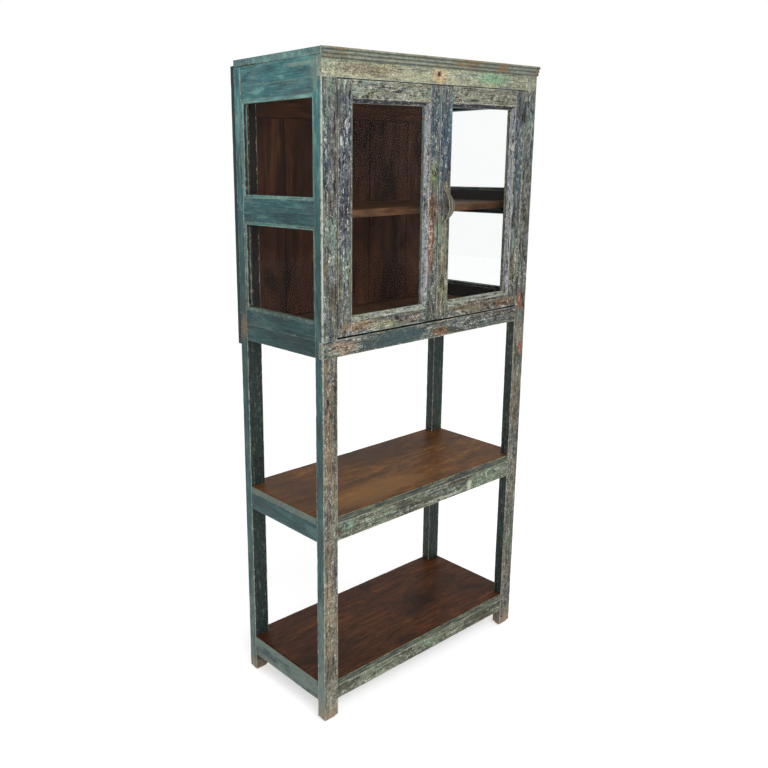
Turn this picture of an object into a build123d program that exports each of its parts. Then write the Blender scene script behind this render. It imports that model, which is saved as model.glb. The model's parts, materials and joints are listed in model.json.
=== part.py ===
"""Painted china cabinet: glazed two-door cupboard on open legs with two lower shelves.

Millimetres, +Z up, +X to the viewer's right, +Y to the back.
Origin: centre of the overall box on the floor.
"""
from build123d import *
import os

os.makedirs("parts", exist_ok=True)

# ---------------------------------------------------------------- driving dimensions
# Whole frame, over the posts
frame_width = 840.0
frame_depth = 362.0

# Corner posts
post_width = 50.0
post_depth = 30.0
foot_chamfer = 5.0

# Rails and boards
cross_rail_thickness = 24.0
side_rail_thickness = 24.0
side_setback = 1.0
shelf_board_thickness = 20.0
floor_thickness = 16.0
inner_shelf_thickness = 20.0
top_board_thickness = 18.0
back_board_thickness = 14.0
back_board_count = 5
lap_thickness = 14.0

# Heights from the floor up: rails, and the clear heights between them and the shelf boards
foot_height = 64.0
bottom_rail_height = 42.0
lower_bay_height = 430.0
middle_rail_height = 51.0
upper_bay_height = 446.0
apron_height = 46.0
cupboard_opening_height = 643.0
frieze_height = 50.0

# Heights of the cupboard's side rails and panes, and of its back
side_bottom_rail_height = 42.0
lower_pane_opening = 246.0
side_mid_rail_height = 65.0
side_top_rail_height = 36.0
back_top_rail_height = 128.0
back_board_drop = 16.0
back_board_rise = 4.0

# Inner shelf, above the side mid rails' undersides, and the strips that carry it and the floor
inner_shelf_rise = 13.0
inner_shelf_setback = 75.0
shelf_cleat_height = 12.0
floor_cleat_height = 16.0
cleat_width = 18.0

# Cornice moulding along the front edge of the top board
cornice_height = 27.0
cornice_foot = 4.0
cornice_projection = 12.0
cornice_overrun = 3.0
reed_count = 3

# Stub tenons and the play in their mortises
cross_tenon_length = 24.0
side_tenon_length = 10.0
door_tenon_length = 20.0
tenon_thickness = 8.0
tenon_shoulder = 8.0
mortise_clearance = 0.2
notch_clearance = 0.5

# Side glazing
bead_width = 8.0
bead_depth = 8.0
pane_thickness = 3.0
pane_clearance = 1.0
bead_setback = 1.0

# Doors
door_thickness = 24.0
door_top_rail_height = 44.0
door_bottom_rail_height = 39.0
left_hinge_stile_width = 47.0
left_meeting_stile_width = 37.0
right_meeting_stile_width = 46.0
right_hinge_stile_width = 43.0
right_door_proud = 2.0
hinge_gap = 2.5
meeting_gap = 2.0
door_top_gap = 2.0
door_bottom_gap = 5.0
bevel = 11.0
lip_reveal = 4.0
door_bead_width = 9.0
meeting_corner_radius = 8.0

# Stop strips behind the doors
stop_gap = 0.5
stop_depth = 18.0
top_stop_overlap = 12.0
top_stop_height = 40.0
bottom_stop_height = 16.0

# Butt hinges, two on each door
hinge_height = 60.0
hinge_inset = 60.0
leaf_width = 18.0
leaf_thickness = 2.0
barrel_radius = 2.8
hinge_pin_radius = 1.2
hinge_pin_clearance = 0.05
barrel_clearance = 0.6
leaf_play = 0.5
knuckle_count = 5
knuckle_clearance = 0.3

# Tower bolt inside the left door
bolt_radius = 4.0
bolt_length = 112.0
bolt_chamfer = 1.0
bolt_travel = 20.0
bolt_clearance = 0.06
bolt_top_gap = 3.0
bolt_plate_width = 22.0
bolt_plate_thickness = 1.5
bolt_stand = 6.0
bolt_guide_width = 16.0
bolt_guide_height = 12.0
bolt_guide_wall = 2.0
bolt_plate_height = 94.0
bolt_knob_rise = 35.5
bolt_knob_radius = 3.0
bolt_knob_length = 13.0
bolt_socket_clearance = 1.0

# Pull handle on the right door, its middle above the door's bottom edge
handle_rise = 318.0
handle_reach = 26.0
handle_thickness = 3.0
handle_bow_height = 80.0
handle_plate_thickness = 2.0
handle_top_leaf = 28.0
handle_bottom_leaf = 44.0
handle_neck_width = 7.0
handle_belly_width = 22.0
handle_leaf_width = 15.0
handle_offset = 4.0
nail_shank_radius = 1.5
nail_head_radius = 3.5
nail_head_height = 1.6
nail_head_taper = 30.0
nail_length = 16.0
nail_clearance = 0.05

# Hanging latch link on the left door, its pivot above the door's bottom edge, and its staple
latch_rise = 322.0
latch_plate_width = 24.0
latch_plate_height = 34.0
latch_plate_thickness = 2.5
latch_plate_corner = 4.0
latch_stud_radius = 2.5
latch_stud_depth = 16.0
latch_stud_clearance = 0.06
latch_head_radius = 5.5
latch_head_thickness = 2.0
latch_head_taper = 20.0
latch_side_clearance = 0.3
link_thickness = 3.0
link_width = 14.0
link_reach = 31.0
link_slot_length = 15.0
link_slot_width = 5.5
staple_wire_radius = 1.5
staple_leg_spacing = 8.0
staple_projection = 12.0
staple_leg_length = 14.0
staple_edge_distance = 3.5

# ---------------------------------------------------------------- derived planes and levels
right_door_reach = right_door_proud + handle_reach
left = -frame_width / 2
right = frame_width / 2
front = (right_door_reach - frame_depth - back_board_thickness) / 2
back = front + frame_depth

bottom_rail_underside = foot_height
bottom_rail_top = bottom_rail_underside + bottom_rail_height
middle_rail_underside = bottom_rail_top + shelf_board_thickness + lower_bay_height
middle_rail_top = middle_rail_underside + middle_rail_height
cabinet_underside = middle_rail_top + shelf_board_thickness + upper_bay_height
floor_top = cabinet_underside + apron_height
floor_underside = floor_top - floor_thickness
frieze_underside = floor_top + cupboard_opening_height
post_top = frieze_underside + frieze_height
overall_height = post_top + top_board_thickness
back_top_rail_underside = post_top - back_top_rail_height

side_bottom_rail_top = floor_top + side_bottom_rail_height
side_mid_rail_underside = side_bottom_rail_top + lower_pane_opening
side_mid_rail_top = side_mid_rail_underside + side_mid_rail_height
side_top_rail_underside = frieze_underside - side_top_rail_height
inner_shelf_underside = side_mid_rail_underside + inner_shelf_rise
frieze_thickness = door_thickness + stop_gap

post_x = {"left": (left, left + post_width), "right": (right - post_width, right)}
post_y = {"front": (front, front + post_depth), "back": (back - post_depth, back)}
inner_left = post_x["left"][1]
inner_right = post_x["right"][0]
inner_front = post_y["front"][1]
inner_back = post_y["back"][0]

cross_y = {"front": (front, front + cross_rail_thickness), "back": (back - cross_rail_thickness, back)}
side_x = {
    "left": (left + side_setback, left + side_setback + side_rail_thickness),
    "right": (right - side_setback - side_rail_thickness, right - side_setback),
}

# Rails that run along X between two posts: name -> (front or back, underside, top)
cross_rails = {
    "bottom_front_rail": ("front", bottom_rail_underside, bottom_rail_top),
    "bottom_back_rail": ("back", bottom_rail_underside, bottom_rail_top),
    "middle_front_rail": ("front", middle_rail_underside, middle_rail_top),
    "middle_back_rail": ("back", middle_rail_underside, middle_rail_top),
    "back_bottom_rail": ("back", cabinet_underside, floor_top),
    "back_top_rail": ("back", back_top_rail_underside, post_top),
}

# Front members lapped over the left post and tenoned into the right one
lapped_rails = {
    "front_bottom_rail": (cabinet_underside, floor_top, cross_rail_thickness),
    "frieze_board": (frieze_underside, post_top, frieze_thickness),
}

# Rails that run along Y, the same on both sides: name -> (underside, top)
side_rails = {
    "bottom_{}_rail": (bottom_rail_underside, bottom_rail_top),
    "middle_{}_rail": (middle_rail_underside, middle_rail_top),
    "{}_apron": (cabinet_underside, floor_top),
    "{}_bottom_rail": (floor_top, side_bottom_rail_top),
    "{}_mid_rail": (side_mid_rail_underside, side_mid_rail_top),
    "{}_top_rail": (side_top_rail_underside, frieze_underside),
    "{}_frieze_rail": (frieze_underside, post_top),
}

# Doors
door_bottom = floor_top + door_bottom_gap
door_top = frieze_underside - door_top_gap
meeting_line = (inner_left + inner_right) / 2
left_door_x = (inner_left + hinge_gap, meeting_line - meeting_gap / 2)
right_door_x = (meeting_line + meeting_gap / 2, inner_right - hinge_gap)
left_door_front = front
right_door_front = front - right_door_proud
lip_thickness = bevel + lip_reveal
hinge_levels = (door_bottom + hinge_inset, door_top - hinge_inset)
barrel_standoff = barrel_radius + barrel_clearance
leaf_standout = (hinge_gap - leaf_play) / 2
leaf_recess = leaf_thickness - leaf_standout

stop_front = front + door_thickness + stop_gap
top_stop_underside = door_top - top_stop_overlap

bolt_x = left_door_x[1] - left_meeting_stile_width / 2
bolt_back = left_door_front + door_thickness
bolt_y = bolt_back + bolt_plate_thickness + bolt_stand
bolt_rest_top = top_stop_underside - bolt_top_gap
bolt_plate_top = bolt_rest_top - bolt_radius - bolt_plate_thickness
bolt_plate_foot = bolt_plate_top - bolt_plate_height

latch_x = left_door_x[1] - left_meeting_stile_width / 2
latch_pivot_height = door_bottom + latch_rise
handle_centre_height = door_bottom + handle_rise
handle_x = right_door_x[0] + right_meeting_stile_width / 2 + handle_offset
staple_x = right_door_x[0] + staple_edge_distance + staple_leg_spacing / 2


# ---------------------------------------------------------------- helpers
def block(x, y, z, mode=Mode.ADD):
    """Box between the low and high value of each axis, in the part being built."""
    with Locations(((x[0] + x[1]) / 2, (y[0] + y[1]) / 2, (z[0] + z[1]) / 2)):
        Box(x[1] - x[0], y[1] - y[0], z[1] - z[0], mode=mode)


def grown(span, amount):
    """A low and high value, each moved out by the amount."""
    return (span[0] - amount, span[1] + amount)


def centred(middle, size):
    """The low and high value of a size about its middle."""
    return (middle - size / 2, middle + size / 2)


def tenon_span(span):
    """Thickness of a tenon, centred in a rail's thickness."""
    return centred((span[0] + span[1]) / 2, tenon_thickness)


def shouldered(span):
    """Height of a tenon between its shoulders."""
    return grown(span, -tenon_shoulder)


def facing_front(y):
    """Plane at y whose local x is X and local y is Z; it looks to the front."""
    return Plane.XZ.offset(-y)


def save(name, builder):
    """Label a finished piece and write it."""
    builder.part.label = name
    export_step(builder.part, f"parts/{name}.step")


def save_group(name, builders):
    """Write several separate pieces of one kind as one node."""
    solids = [solid for builder in builders for solid in builder.part.solids()]
    export_step(Compound(solids, label=name), f"parts/{name}.step")


def mitred_ring(plane, u, v, width, depth):
    """Four mitred strips around the inside of a rectangle, on one plane."""
    u0, u1 = u
    v0, v1 = v
    corners = [(u0, v0), (u1, v0), (u1, v1), (u0, v1)]
    (a0, a1), (b0, b1) = grown(u, -width), grown(v, -width)
    inner = [(a0, b0), (a1, b0), (a1, b1), (a0, b1)]
    strips = []
    for i in range(4):
        j = (i + 1) % 4
        with BuildPart() as strip:
            with BuildSketch(plane):
                Polygon(corners[i], corners[j], inner[j], inner[i], align=None)
            extrude(amount=depth)
        strips.append(strip)
    return strips


# ---------------------------------------------------------------- corner posts
def cut_cross_mortises(side, face):
    """Mortises for the tenons of the rails that run along X."""
    for end, underside, top in cross_rails.values():
        if end == face:
            cut_cross_mortise(side, tenon_span(cross_y[face]), (underside, top))
    if (side, face) == ("right", "front"):
        for underside, top, thickness in lapped_rails.values():
            cut_cross_mortise(side, tenon_span((front, front + thickness)), (underside, top))


def cut_cross_mortise(side, y, z):
    """One mortise in the inner side face of a post."""
    depth = cross_tenon_length + mortise_clearance
    x = (inner_left - depth, inner_left) if side == "left" else (inner_right, inner_right + depth)
    block(x, grown(y, mortise_clearance), grown(shouldered(z), mortise_clearance), Mode.SUBTRACT)


def cut_side_mortises(side, face):
    """Mortises for the tenons of the rails that run along Y."""
    depth = side_tenon_length + mortise_clearance
    y = (inner_front - depth, inner_front) if face == "front" else (inner_back, inner_back + depth)
    x = grown(tenon_span(side_x[side]), mortise_clearance)
    for z in side_rails.values():
        block(x, y, grown(shouldered(z), mortise_clearance), Mode.SUBTRACT)


def cut_hinge_recesses(side):
    """Recesses for the frame leaves of the hinges, in a front post's inner face."""
    x = (inner_left - leaf_recess, inner_left) if side == "left" else (inner_right, inner_right + leaf_recess)
    for level in hinge_levels:
        z = grown(centred(level, hinge_height), notch_clearance)
        block(x, (front, front + leaf_width + notch_clearance), z, Mode.SUBTRACT)


for side in ("left", "right"):
    for face in ("front", "back"):
        with BuildPart() as post:
            block(post_x[side], post_y[face], (0, post_top))
            chamfer(post.edges().group_by(Axis.Z)[0], length=foot_chamfer)
            cut_cross_mortises(side, face)
            cut_side_mortises(side, face)
            if face == "front":
                cut_hinge_recesses(side)
            if (side, face) == ("left", "front"):
                for underside, top, _ in lapped_rails.values():
                    block(post_x[side], (front, front + lap_thickness), (underside, top), Mode.SUBTRACT)
        save(f"{face}_{side}_post", post)

# ---------------------------------------------------------------- rails
for name, (face, underside, top) in cross_rails.items():
    with BuildPart() as rail:
        block((inner_left, inner_right), cross_y[face], (underside, top))
        block(
            (inner_left - cross_tenon_length, inner_right + cross_tenon_length),
            tenon_span(cross_y[face]),
            shouldered((underside, top)),
        )
    save(name, rail)

for name, (underside, top, thickness) in lapped_rails.items():
    rail_y = (front, front + thickness)
    with BuildPart() as rail:
        block((inner_left, inner_right), rail_y, (underside, top))
        block((left, inner_left), (front, front + lap_thickness), (underside, top))
        block((inner_right, inner_right + cross_tenon_length), tenon_span(rail_y), shouldered((underside, top)))
    save(name, rail)

for side in ("left", "right"):
    for pattern, (underside, top) in side_rails.items():
        with BuildPart() as rail:
            block(side_x[side], (inner_front, inner_back), (underside, top))
            block(
                tenon_span(side_x[side]),
                (inner_front - side_tenon_length, inner_back + side_tenon_length),
                shouldered((underside, top)),
            )
        save(pattern.format(side), rail)


# ---------------------------------------------------------------- boards
def notched_board(x, y, z):
    """Board cut round every post that it meets."""
    with BuildPart() as board:
        block(x, y, z)
        for across in post_x.values():
            for along in post_y.values():
                block(grown(across, notch_clearance), grown(along, notch_clearance), z, Mode.SUBTRACT)
    return board


for name, level in (("bottom_shelf_board", bottom_rail_top), ("middle_shelf_board", middle_rail_top)):
    save(name, notched_board((left, right), (front, back), (level, level + shelf_board_thickness)))

inside_x = (side_x["left"][1], side_x["right"][0])
inside_y = (cross_y["front"][1], cross_y["back"][0])
save("cabinet_floor", notched_board(inside_x, inside_y, (floor_underside, floor_top)))

inner_shelf_y = (front + inner_shelf_setback, back)
inner_shelf_z = (inner_shelf_underside, inner_shelf_underside + inner_shelf_thickness)
save("inner_shelf", notched_board(inside_x, inner_shelf_y, inner_shelf_z))

cleats = []
for side, inner in (("left", inside_x[0]), ("right", inside_x[1])):
    cleat_x = (inner, inner + cleat_width) if side == "left" else (inner - cleat_width, inner)
    for foot, top, start in (
        (floor_underside - floor_cleat_height, floor_underside, inner_front),
        (inner_shelf_underside - shelf_cleat_height, inner_shelf_underside, inner_shelf_y[0]),
    ):
        with BuildPart() as cleat:
            block(cleat_x, (start, inner_back), (foot, top))
        cleats.append(cleat)
save_group("shelf_cleats", cleats)

with BuildPart() as top_board:
    block((left, right), (front, back), (post_top, overall_height))
save("top_board", top_board)

back_boards = []
back_board_width = frame_width / back_board_count
for i in range(back_board_count):
    with BuildPart() as back_board:
        block(
            (left + i * back_board_width, left + (i + 1) * back_board_width),
            (back, back + back_board_thickness),
            (cabinet_underside - back_board_drop, post_top + back_board_rise),
        )
    back_boards.append(back_board)
save_group("back_boards", back_boards)

# ---------------------------------------------------------------- cornice moulding
# Reeds one above the other, each standing a little further out than the one below.
reed_height = cornice_height / reed_count
reed_step = (cornice_projection - cornice_foot) / reed_count
cornice_foot_level = overall_height - cornice_height
cornice_ends = (left - cornice_overrun, right + cornice_overrun)
with BuildPart() as cornice:
    with BuildSketch(Plane.YZ.offset(cornice_ends[0])):
        with BuildLine():
            Line((front, cornice_foot_level), (front - cornice_foot, cornice_foot_level))
            for i in range(reed_count):
                low = cornice_foot_level + i * reed_height
                near = front - cornice_foot - i * reed_step
                crest = near - reed_step
                ThreePointArc((near, low), (crest, low + reed_height / 2), (near, low + reed_height))
                if i + 1 < reed_count:
                    Line((near, low + reed_height), (crest, low + reed_height))
            Line((near, overall_height), (front, overall_height))
            Line((front, overall_height), (front, cornice_foot_level))
        make_face()
    extrude(amount=cornice_ends[1] - cornice_ends[0])
save("cornice_moulding", cornice)

# ---------------------------------------------------------------- side glazing
pane_openings = (
    (side_bottom_rail_top, side_mid_rail_underside),
    (side_mid_rail_top, side_top_rail_underside),
)
panes = []
side_beads = []
for side, outward in (("left", -1), ("right", 1)):
    outer_face = side_x[side][0] if side == "left" else side_x[side][1]
    bead_face = outer_face - outward * bead_setback
    pane_face = bead_face - outward * bead_depth
    inner_face = pane_face - outward * pane_thickness
    for opening in pane_openings:
        with BuildPart() as pane:
            block(
                tuple(sorted((pane_face, inner_face))),
                grown((inner_front, inner_back), -pane_clearance),
                grown(opening, -pane_clearance),
            )
        panes.append(pane)
        for start in (bead_face, inner_face):
            side_beads += mitred_ring(
                Plane.YZ.offset(start), (inner_front, inner_back), opening, bead_width, -outward * bead_depth
            )
save_group("side_panes", panes)
save_group("side_glazing_beads", side_beads)


# ---------------------------------------------------------------- doors
def door_stile(x_outer, x_flat, face_y, openings_z, recess=False, round_corner=0.0):
    """Upright of a door, with its half of the bevelled lip on the glass side."""
    toward_glass = 1 if x_flat > x_outer else -1
    x = tuple(sorted((x_outer, x_flat)))
    lip_x = x_flat + toward_glass * bevel
    lip_z = grown(openings_z, -bevel)
    with BuildPart() as stile:
        with BuildSketch(facing_front(face_y)) as outline:
            Polygon((x[0], door_bottom), (x[1], door_bottom), (x[1], door_top), (x[0], door_top), align=None)
            if round_corner > 0:
                lowest = outline.vertices().group_by(Axis.Z)[0]
                fillet(min(lowest, key=lambda corner: abs(corner.X - x_outer)), round_corner)
        extrude(amount=-door_thickness)
        with BuildSketch(facing_front(face_y)):
            Polygon(
                (x_flat, openings_z[0]), (lip_x, lip_z[0]), (lip_x, lip_z[1]), (x_flat, openings_z[1]), align=None
            )
        extrude(amount=-lip_thickness)
        with BuildSketch(Plane.XY.offset(door_bottom)):
            Polygon((x_flat, face_y), (lip_x, face_y), (lip_x, face_y + bevel), align=None)
        extrude(amount=door_top - door_bottom, mode=Mode.SUBTRACT)
        mortise_x = sorted((x_flat, x_flat - toward_glass * (door_tenon_length + mortise_clearance)))
        for rail_z in ((door_bottom, openings_z[0]), (openings_z[1], door_top)):
            block(
                mortise_x,
                grown(tenon_span((face_y, face_y + door_thickness)), mortise_clearance),
                grown(shouldered(rail_z), mortise_clearance),
                Mode.SUBTRACT,
            )
        if recess:
            recess_x = sorted((x_outer, x_outer + toward_glass * leaf_recess))
            for level in hinge_levels:
                block(
                    recess_x,
                    (face_y, front + leaf_width + notch_clearance),
                    grown(centred(level, hinge_height), notch_clearance),
                    Mode.SUBTRACT,
                )
    return stile


def door_rail(x, z, z_flat, face_y):
    """Crosspiece of a door, with its half of the bevelled lip on the glass side."""
    toward_glass = 1 if z_flat == z[1] else -1
    lip_z = z_flat + toward_glass * bevel
    with BuildPart() as rail:
        block(x, (face_y, face_y + door_thickness), z)
        with BuildSketch(facing_front(face_y)):
            Polygon((x[0], z_flat), (x[0] + bevel, lip_z), (x[1] - bevel, lip_z), (x[1], z_flat), align=None)
        extrude(amount=-lip_thickness)
        with BuildSketch(Plane.YZ.offset(x[0])):
            Polygon((face_y, z_flat), (face_y, lip_z), (face_y + bevel, lip_z), align=None)
        extrude(amount=x[1] - x[0], mode=Mode.SUBTRACT)
        block(grown(x, door_tenon_length), tenon_span((face_y, face_y + door_thickness)), shouldered(z))
    return rail


def door_glass(x, z, face_y):
    """Pane held behind the lip."""
    with BuildPart() as glass:
        block(
            grown(x, -pane_clearance),
            (face_y + lip_thickness, face_y + lip_thickness + pane_thickness),
            grown(z, -pane_clearance),
        )
    return glass


def door_beads(x, z, face_y):
    """Mitred strips that hold the pane from inside."""
    bead_front = face_y + lip_thickness + pane_thickness
    return mitred_ring(facing_front(bead_front), x, z, door_bead_width, -(door_thickness - bead_front + face_y))


opening_z = (door_bottom + door_bottom_rail_height, door_top - door_top_rail_height)
left_opening_x = (left_door_x[0] + left_hinge_stile_width, left_door_x[1] - left_meeting_stile_width)
right_opening_x = (right_door_x[0] + right_meeting_stile_width, right_door_x[1] - right_hinge_stile_width)

for side, opening_x, face_y in (
    ("left", left_opening_x, left_door_front),
    ("right", right_opening_x, right_door_front),
):
    save(f"{side}_door_top_rail", door_rail(opening_x, (opening_z[1], door_top), opening_z[1], face_y))
    save(f"{side}_door_bottom_rail", door_rail(opening_x, (door_bottom, opening_z[0]), opening_z[0], face_y))
    save(f"{side}_door_glass", door_glass(opening_x, opening_z, face_y))
    save_group(f"{side}_door_beads", door_beads(opening_x, opening_z, face_y))

save(
    "left_door_hinge_stile",
    door_stile(left_door_x[0], left_opening_x[0], left_door_front, opening_z, recess=True),
)
save(
    "right_door_hinge_stile",
    door_stile(right_door_x[1], right_opening_x[1], right_door_front, opening_z, recess=True),
)

# ---------------------------------------------------------------- stop strips behind the doors
door_stops = []
with BuildPart() as top_stop:
    block(
        (inner_left, inner_right),
        (stop_front, stop_front + stop_depth),
        (top_stop_underside, top_stop_underside + top_stop_height),
    )
    with BuildSketch(Plane.XY.offset(top_stop_underside)):
        with Locations((bolt_x, bolt_y)):
            Circle(bolt_radius + bolt_socket_clearance)
    extrude(amount=bolt_travel + bolt_top_gap, mode=Mode.SUBTRACT)
door_stops.append(top_stop)
with BuildPart() as bottom_stop:
    block(
        (inner_left, inner_right),
        (stop_front, stop_front + stop_depth),
        (floor_top, floor_top + bottom_stop_height),
    )
door_stops.append(bottom_stop)
save_group("door_stops", door_stops)


# ---------------------------------------------------------------- butt hinges
def knuckle(index, level):
    """Height span of one knuckle of a hinge barrel."""
    pitch = hinge_height / knuckle_count
    foot = level - hinge_height / 2 + index * pitch
    return grown((foot, foot + pitch), -knuckle_clearance / 2)


def hinge_leaf(axis_x, axis_y, plate_x, level, first_knuckle):
    """One leaf: a flat plate in the door's gap, and every other knuckle of the barrel."""
    plate_front = axis_y + barrel_radius + knuckle_clearance
    with BuildPart() as leaf:
        block(plate_x, (plate_front, front + leaf_width), centred(level, hinge_height))
        for index in range(first_knuckle, knuckle_count, 2):
            span = knuckle(index, level)
            block(plate_x, (axis_y, plate_front), span)
            with BuildSketch(Plane.XY.offset(span[0])):
                with Locations((axis_x, axis_y)):
                    Circle(barrel_radius)
            extrude(amount=span[1] - span[0])
        with BuildSketch(Plane.XY.offset(level - hinge_height / 2)):
            with Locations((axis_x, axis_y)):
                Circle(hinge_pin_radius + hinge_pin_clearance)
        extrude(amount=hinge_height, mode=Mode.SUBTRACT)
    return leaf


def hinge_pin(axis_x, axis_y, level):
    """Pin through the knuckles of both leaves."""
    with BuildPart() as pin:
        with BuildSketch(Plane.XY.offset(level - hinge_height / 2)):
            with Locations((axis_x, axis_y)):
                Circle(hinge_pin_radius)
        extrude(amount=hinge_height)
    return pin


frame_leaves = []
hinge_pins = []
for side, post_face, face_y, toward_door in (
    ("left", inner_left, left_door_front, 1),
    ("right", inner_right, right_door_front, -1),
):
    axis_x = post_face + toward_door * hinge_gap / 2
    axis_y = face_y - barrel_standoff
    door_leaves = []
    for level in hinge_levels:
        door_edge = post_face + toward_door * hinge_gap
        frame_plate = sorted(
            (post_face - toward_door * leaf_recess, post_face + toward_door * leaf_standout)
        )
        door_plate = sorted(
            (door_edge + toward_door * leaf_recess, door_edge - toward_door * leaf_standout)
        )
        frame_leaves.append(hinge_leaf(axis_x, axis_y, frame_plate, level, 0))
        door_leaves.append(hinge_leaf(axis_x, axis_y, door_plate, level, 1))
        hinge_pins.append(hinge_pin(axis_x, axis_y, level))
    save_group(f"{side}_hinge_leaves", door_leaves)
save_group("hinge_frame_leaves", frame_leaves)
save_group("hinge_pins", hinge_pins)

# ---------------------------------------------------------------- tower bolt inside the left door
guide_back = bolt_y + bolt_radius + bolt_clearance + bolt_guide_wall
guide_feet = (bolt_plate_foot, bolt_plate_top - bolt_guide_height)
with BuildPart() as bolt_plate:
    block(
        centred(bolt_x, bolt_plate_width),
        (bolt_back, bolt_back + bolt_plate_thickness),
        (bolt_plate_foot, bolt_plate_top),
    )
    for foot in guide_feet:
        block(
            centred(bolt_x, bolt_guide_width),
            (bolt_back + bolt_plate_thickness, guide_back),
            (foot, foot + bolt_guide_height),
        )
    with BuildSketch(Plane.XY.offset(bolt_plate_foot)):
        with Locations((bolt_x, bolt_y)):
            Circle(bolt_radius + bolt_clearance)
    extrude(amount=bolt_plate_height, mode=Mode.SUBTRACT)
save("bolt_plate", bolt_plate)

with BuildPart() as bolt_rod:
    with BuildSketch(Plane.XY.offset(bolt_rest_top - bolt_length)):
        with Locations((bolt_x, bolt_y)):
            Circle(bolt_radius)
    extrude(amount=bolt_length)
    chamfer(bolt_rod.edges().group_by(Axis.Z)[-1], length=bolt_chamfer)
    with BuildSketch(facing_front(bolt_y)):
        with Locations((bolt_x, bolt_plate_foot + bolt_knob_rise)):
            Circle(bolt_knob_radius)
    extrude(amount=-bolt_knob_length)
save("bolt_rod", bolt_rod)

# ---------------------------------------------------------------- pull handle on the right door
bow_low = handle_centre_height - handle_bow_height / 2
bow_high = handle_centre_height + handle_bow_height / 2
leaf_low = bow_low - handle_bottom_leaf
leaf_high = bow_high + handle_top_leaf
nail_levels = (bow_low - handle_bottom_leaf / 2, bow_high + handle_top_leaf / 2)
face_y = right_door_front


def half_outline(sign):
    """One long edge of the handle's front outline, from the lower tip to the upper tip."""
    neck = handle_x + sign * handle_neck_width / 2
    leaf = handle_x + sign * handle_leaf_width / 2
    belly = handle_x + sign * handle_belly_width / 2
    ThreePointArc((handle_x, leaf_low), (leaf, nail_levels[0]), (neck, bow_low))
    ThreePointArc((neck, bow_low), (belly, handle_centre_height), (neck, bow_high))
    ThreePointArc((neck, bow_high), (leaf, nail_levels[1]), (handle_x, leaf_high))


with BuildPart() as handle:
    with BuildSketch(Plane.YZ.offset(handle_x - handle_belly_width)):
        with BuildLine():
            ThreePointArc((face_y, bow_low), (face_y - handle_reach, handle_centre_height), (face_y, bow_high))
            Line((face_y, bow_high), (face_y, bow_low))
        make_face()
        with BuildLine():
            ThreePointArc(
                (face_y, bow_low + handle_thickness),
                (face_y - handle_reach + handle_thickness, handle_centre_height),
                (face_y, bow_high - handle_thickness),
            )
            Line((face_y, bow_high - handle_thickness), (face_y, bow_low + handle_thickness))
        make_face(mode=Mode.SUBTRACT)
        for foot, top in ((leaf_low, bow_low + handle_thickness), (bow_high - handle_thickness, leaf_high)):
            plate_y = face_y - handle_plate_thickness
            Polygon((face_y, foot), (face_y, top), (plate_y, top), (plate_y, foot), align=None)
    extrude(amount=2 * handle_belly_width)
    with BuildSketch(facing_front(face_y)):
        with BuildLine():
            half_outline(1)
            half_outline(-1)
        make_face()
    extrude(amount=handle_reach, mode=Mode.INTERSECT)
    with BuildSketch(facing_front(face_y)):
        with Locations(*[(handle_x, level) for level in nail_levels]):
            Circle(nail_shank_radius + nail_clearance)
    extrude(amount=handle_plate_thickness, mode=Mode.SUBTRACT)
save("handle", handle)

handle_nails = []
for level in nail_levels:
    with BuildPart() as nail:
        with BuildSketch(facing_front(face_y - handle_plate_thickness)):
            with Locations((handle_x, level)):
                Circle(nail_shank_radius)
        extrude(amount=-nail_length)
        with BuildSketch(facing_front(face_y - handle_plate_thickness)):
            with Locations((handle_x, level)):
                Circle(nail_head_radius)
        extrude(amount=nail_head_height, taper=nail_head_taper)
    handle_nails.append(nail)
save_group("handle_nails", handle_nails)

# ---------------------------------------------------------------- latch plate, link and staple
plate_front = left_door_front - latch_plate_thickness
link_back = plate_front - latch_side_clearance
link_front = link_back - link_thickness
head_back = link_front - latch_side_clearance
with BuildPart() as latch_plate:
    with BuildSketch(facing_front(left_door_front)):
        with Locations((latch_x, latch_pivot_height)):
            RectangleRounded(latch_plate_width, latch_plate_height, latch_plate_corner)
    extrude(amount=latch_plate_thickness)
    with BuildSketch(facing_front(left_door_front + latch_stud_depth)):
        with Locations((latch_x, latch_pivot_height)):
            Circle(latch_stud_radius)
    extrude(amount=latch_stud_depth + left_door_front - head_back)
    with BuildSketch(facing_front(head_back)):
        with Locations((latch_x, latch_pivot_height)):
            Circle(latch_head_radius)
    extrude(amount=latch_head_thickness, taper=latch_head_taper)
save("latch_plate", latch_plate)

slot_centre = latch_pivot_height - link_reach + link_slot_length / 2
with BuildPart() as latch_link:
    with BuildSketch(facing_front(link_back)):
        with Locations((latch_x, latch_pivot_height - link_reach / 2)):
            SlotOverall(link_reach + link_width, link_width, rotation=90)
        with Locations((latch_x, latch_pivot_height)):
            Circle(latch_stud_radius + latch_stud_clearance, mode=Mode.SUBTRACT)
        with Locations((latch_x, slot_centre)):
            SlotOverall(link_slot_length, link_slot_width, rotation=90, mode=Mode.SUBTRACT)
    extrude(amount=link_thickness)
save("latch_link", latch_link)

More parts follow.
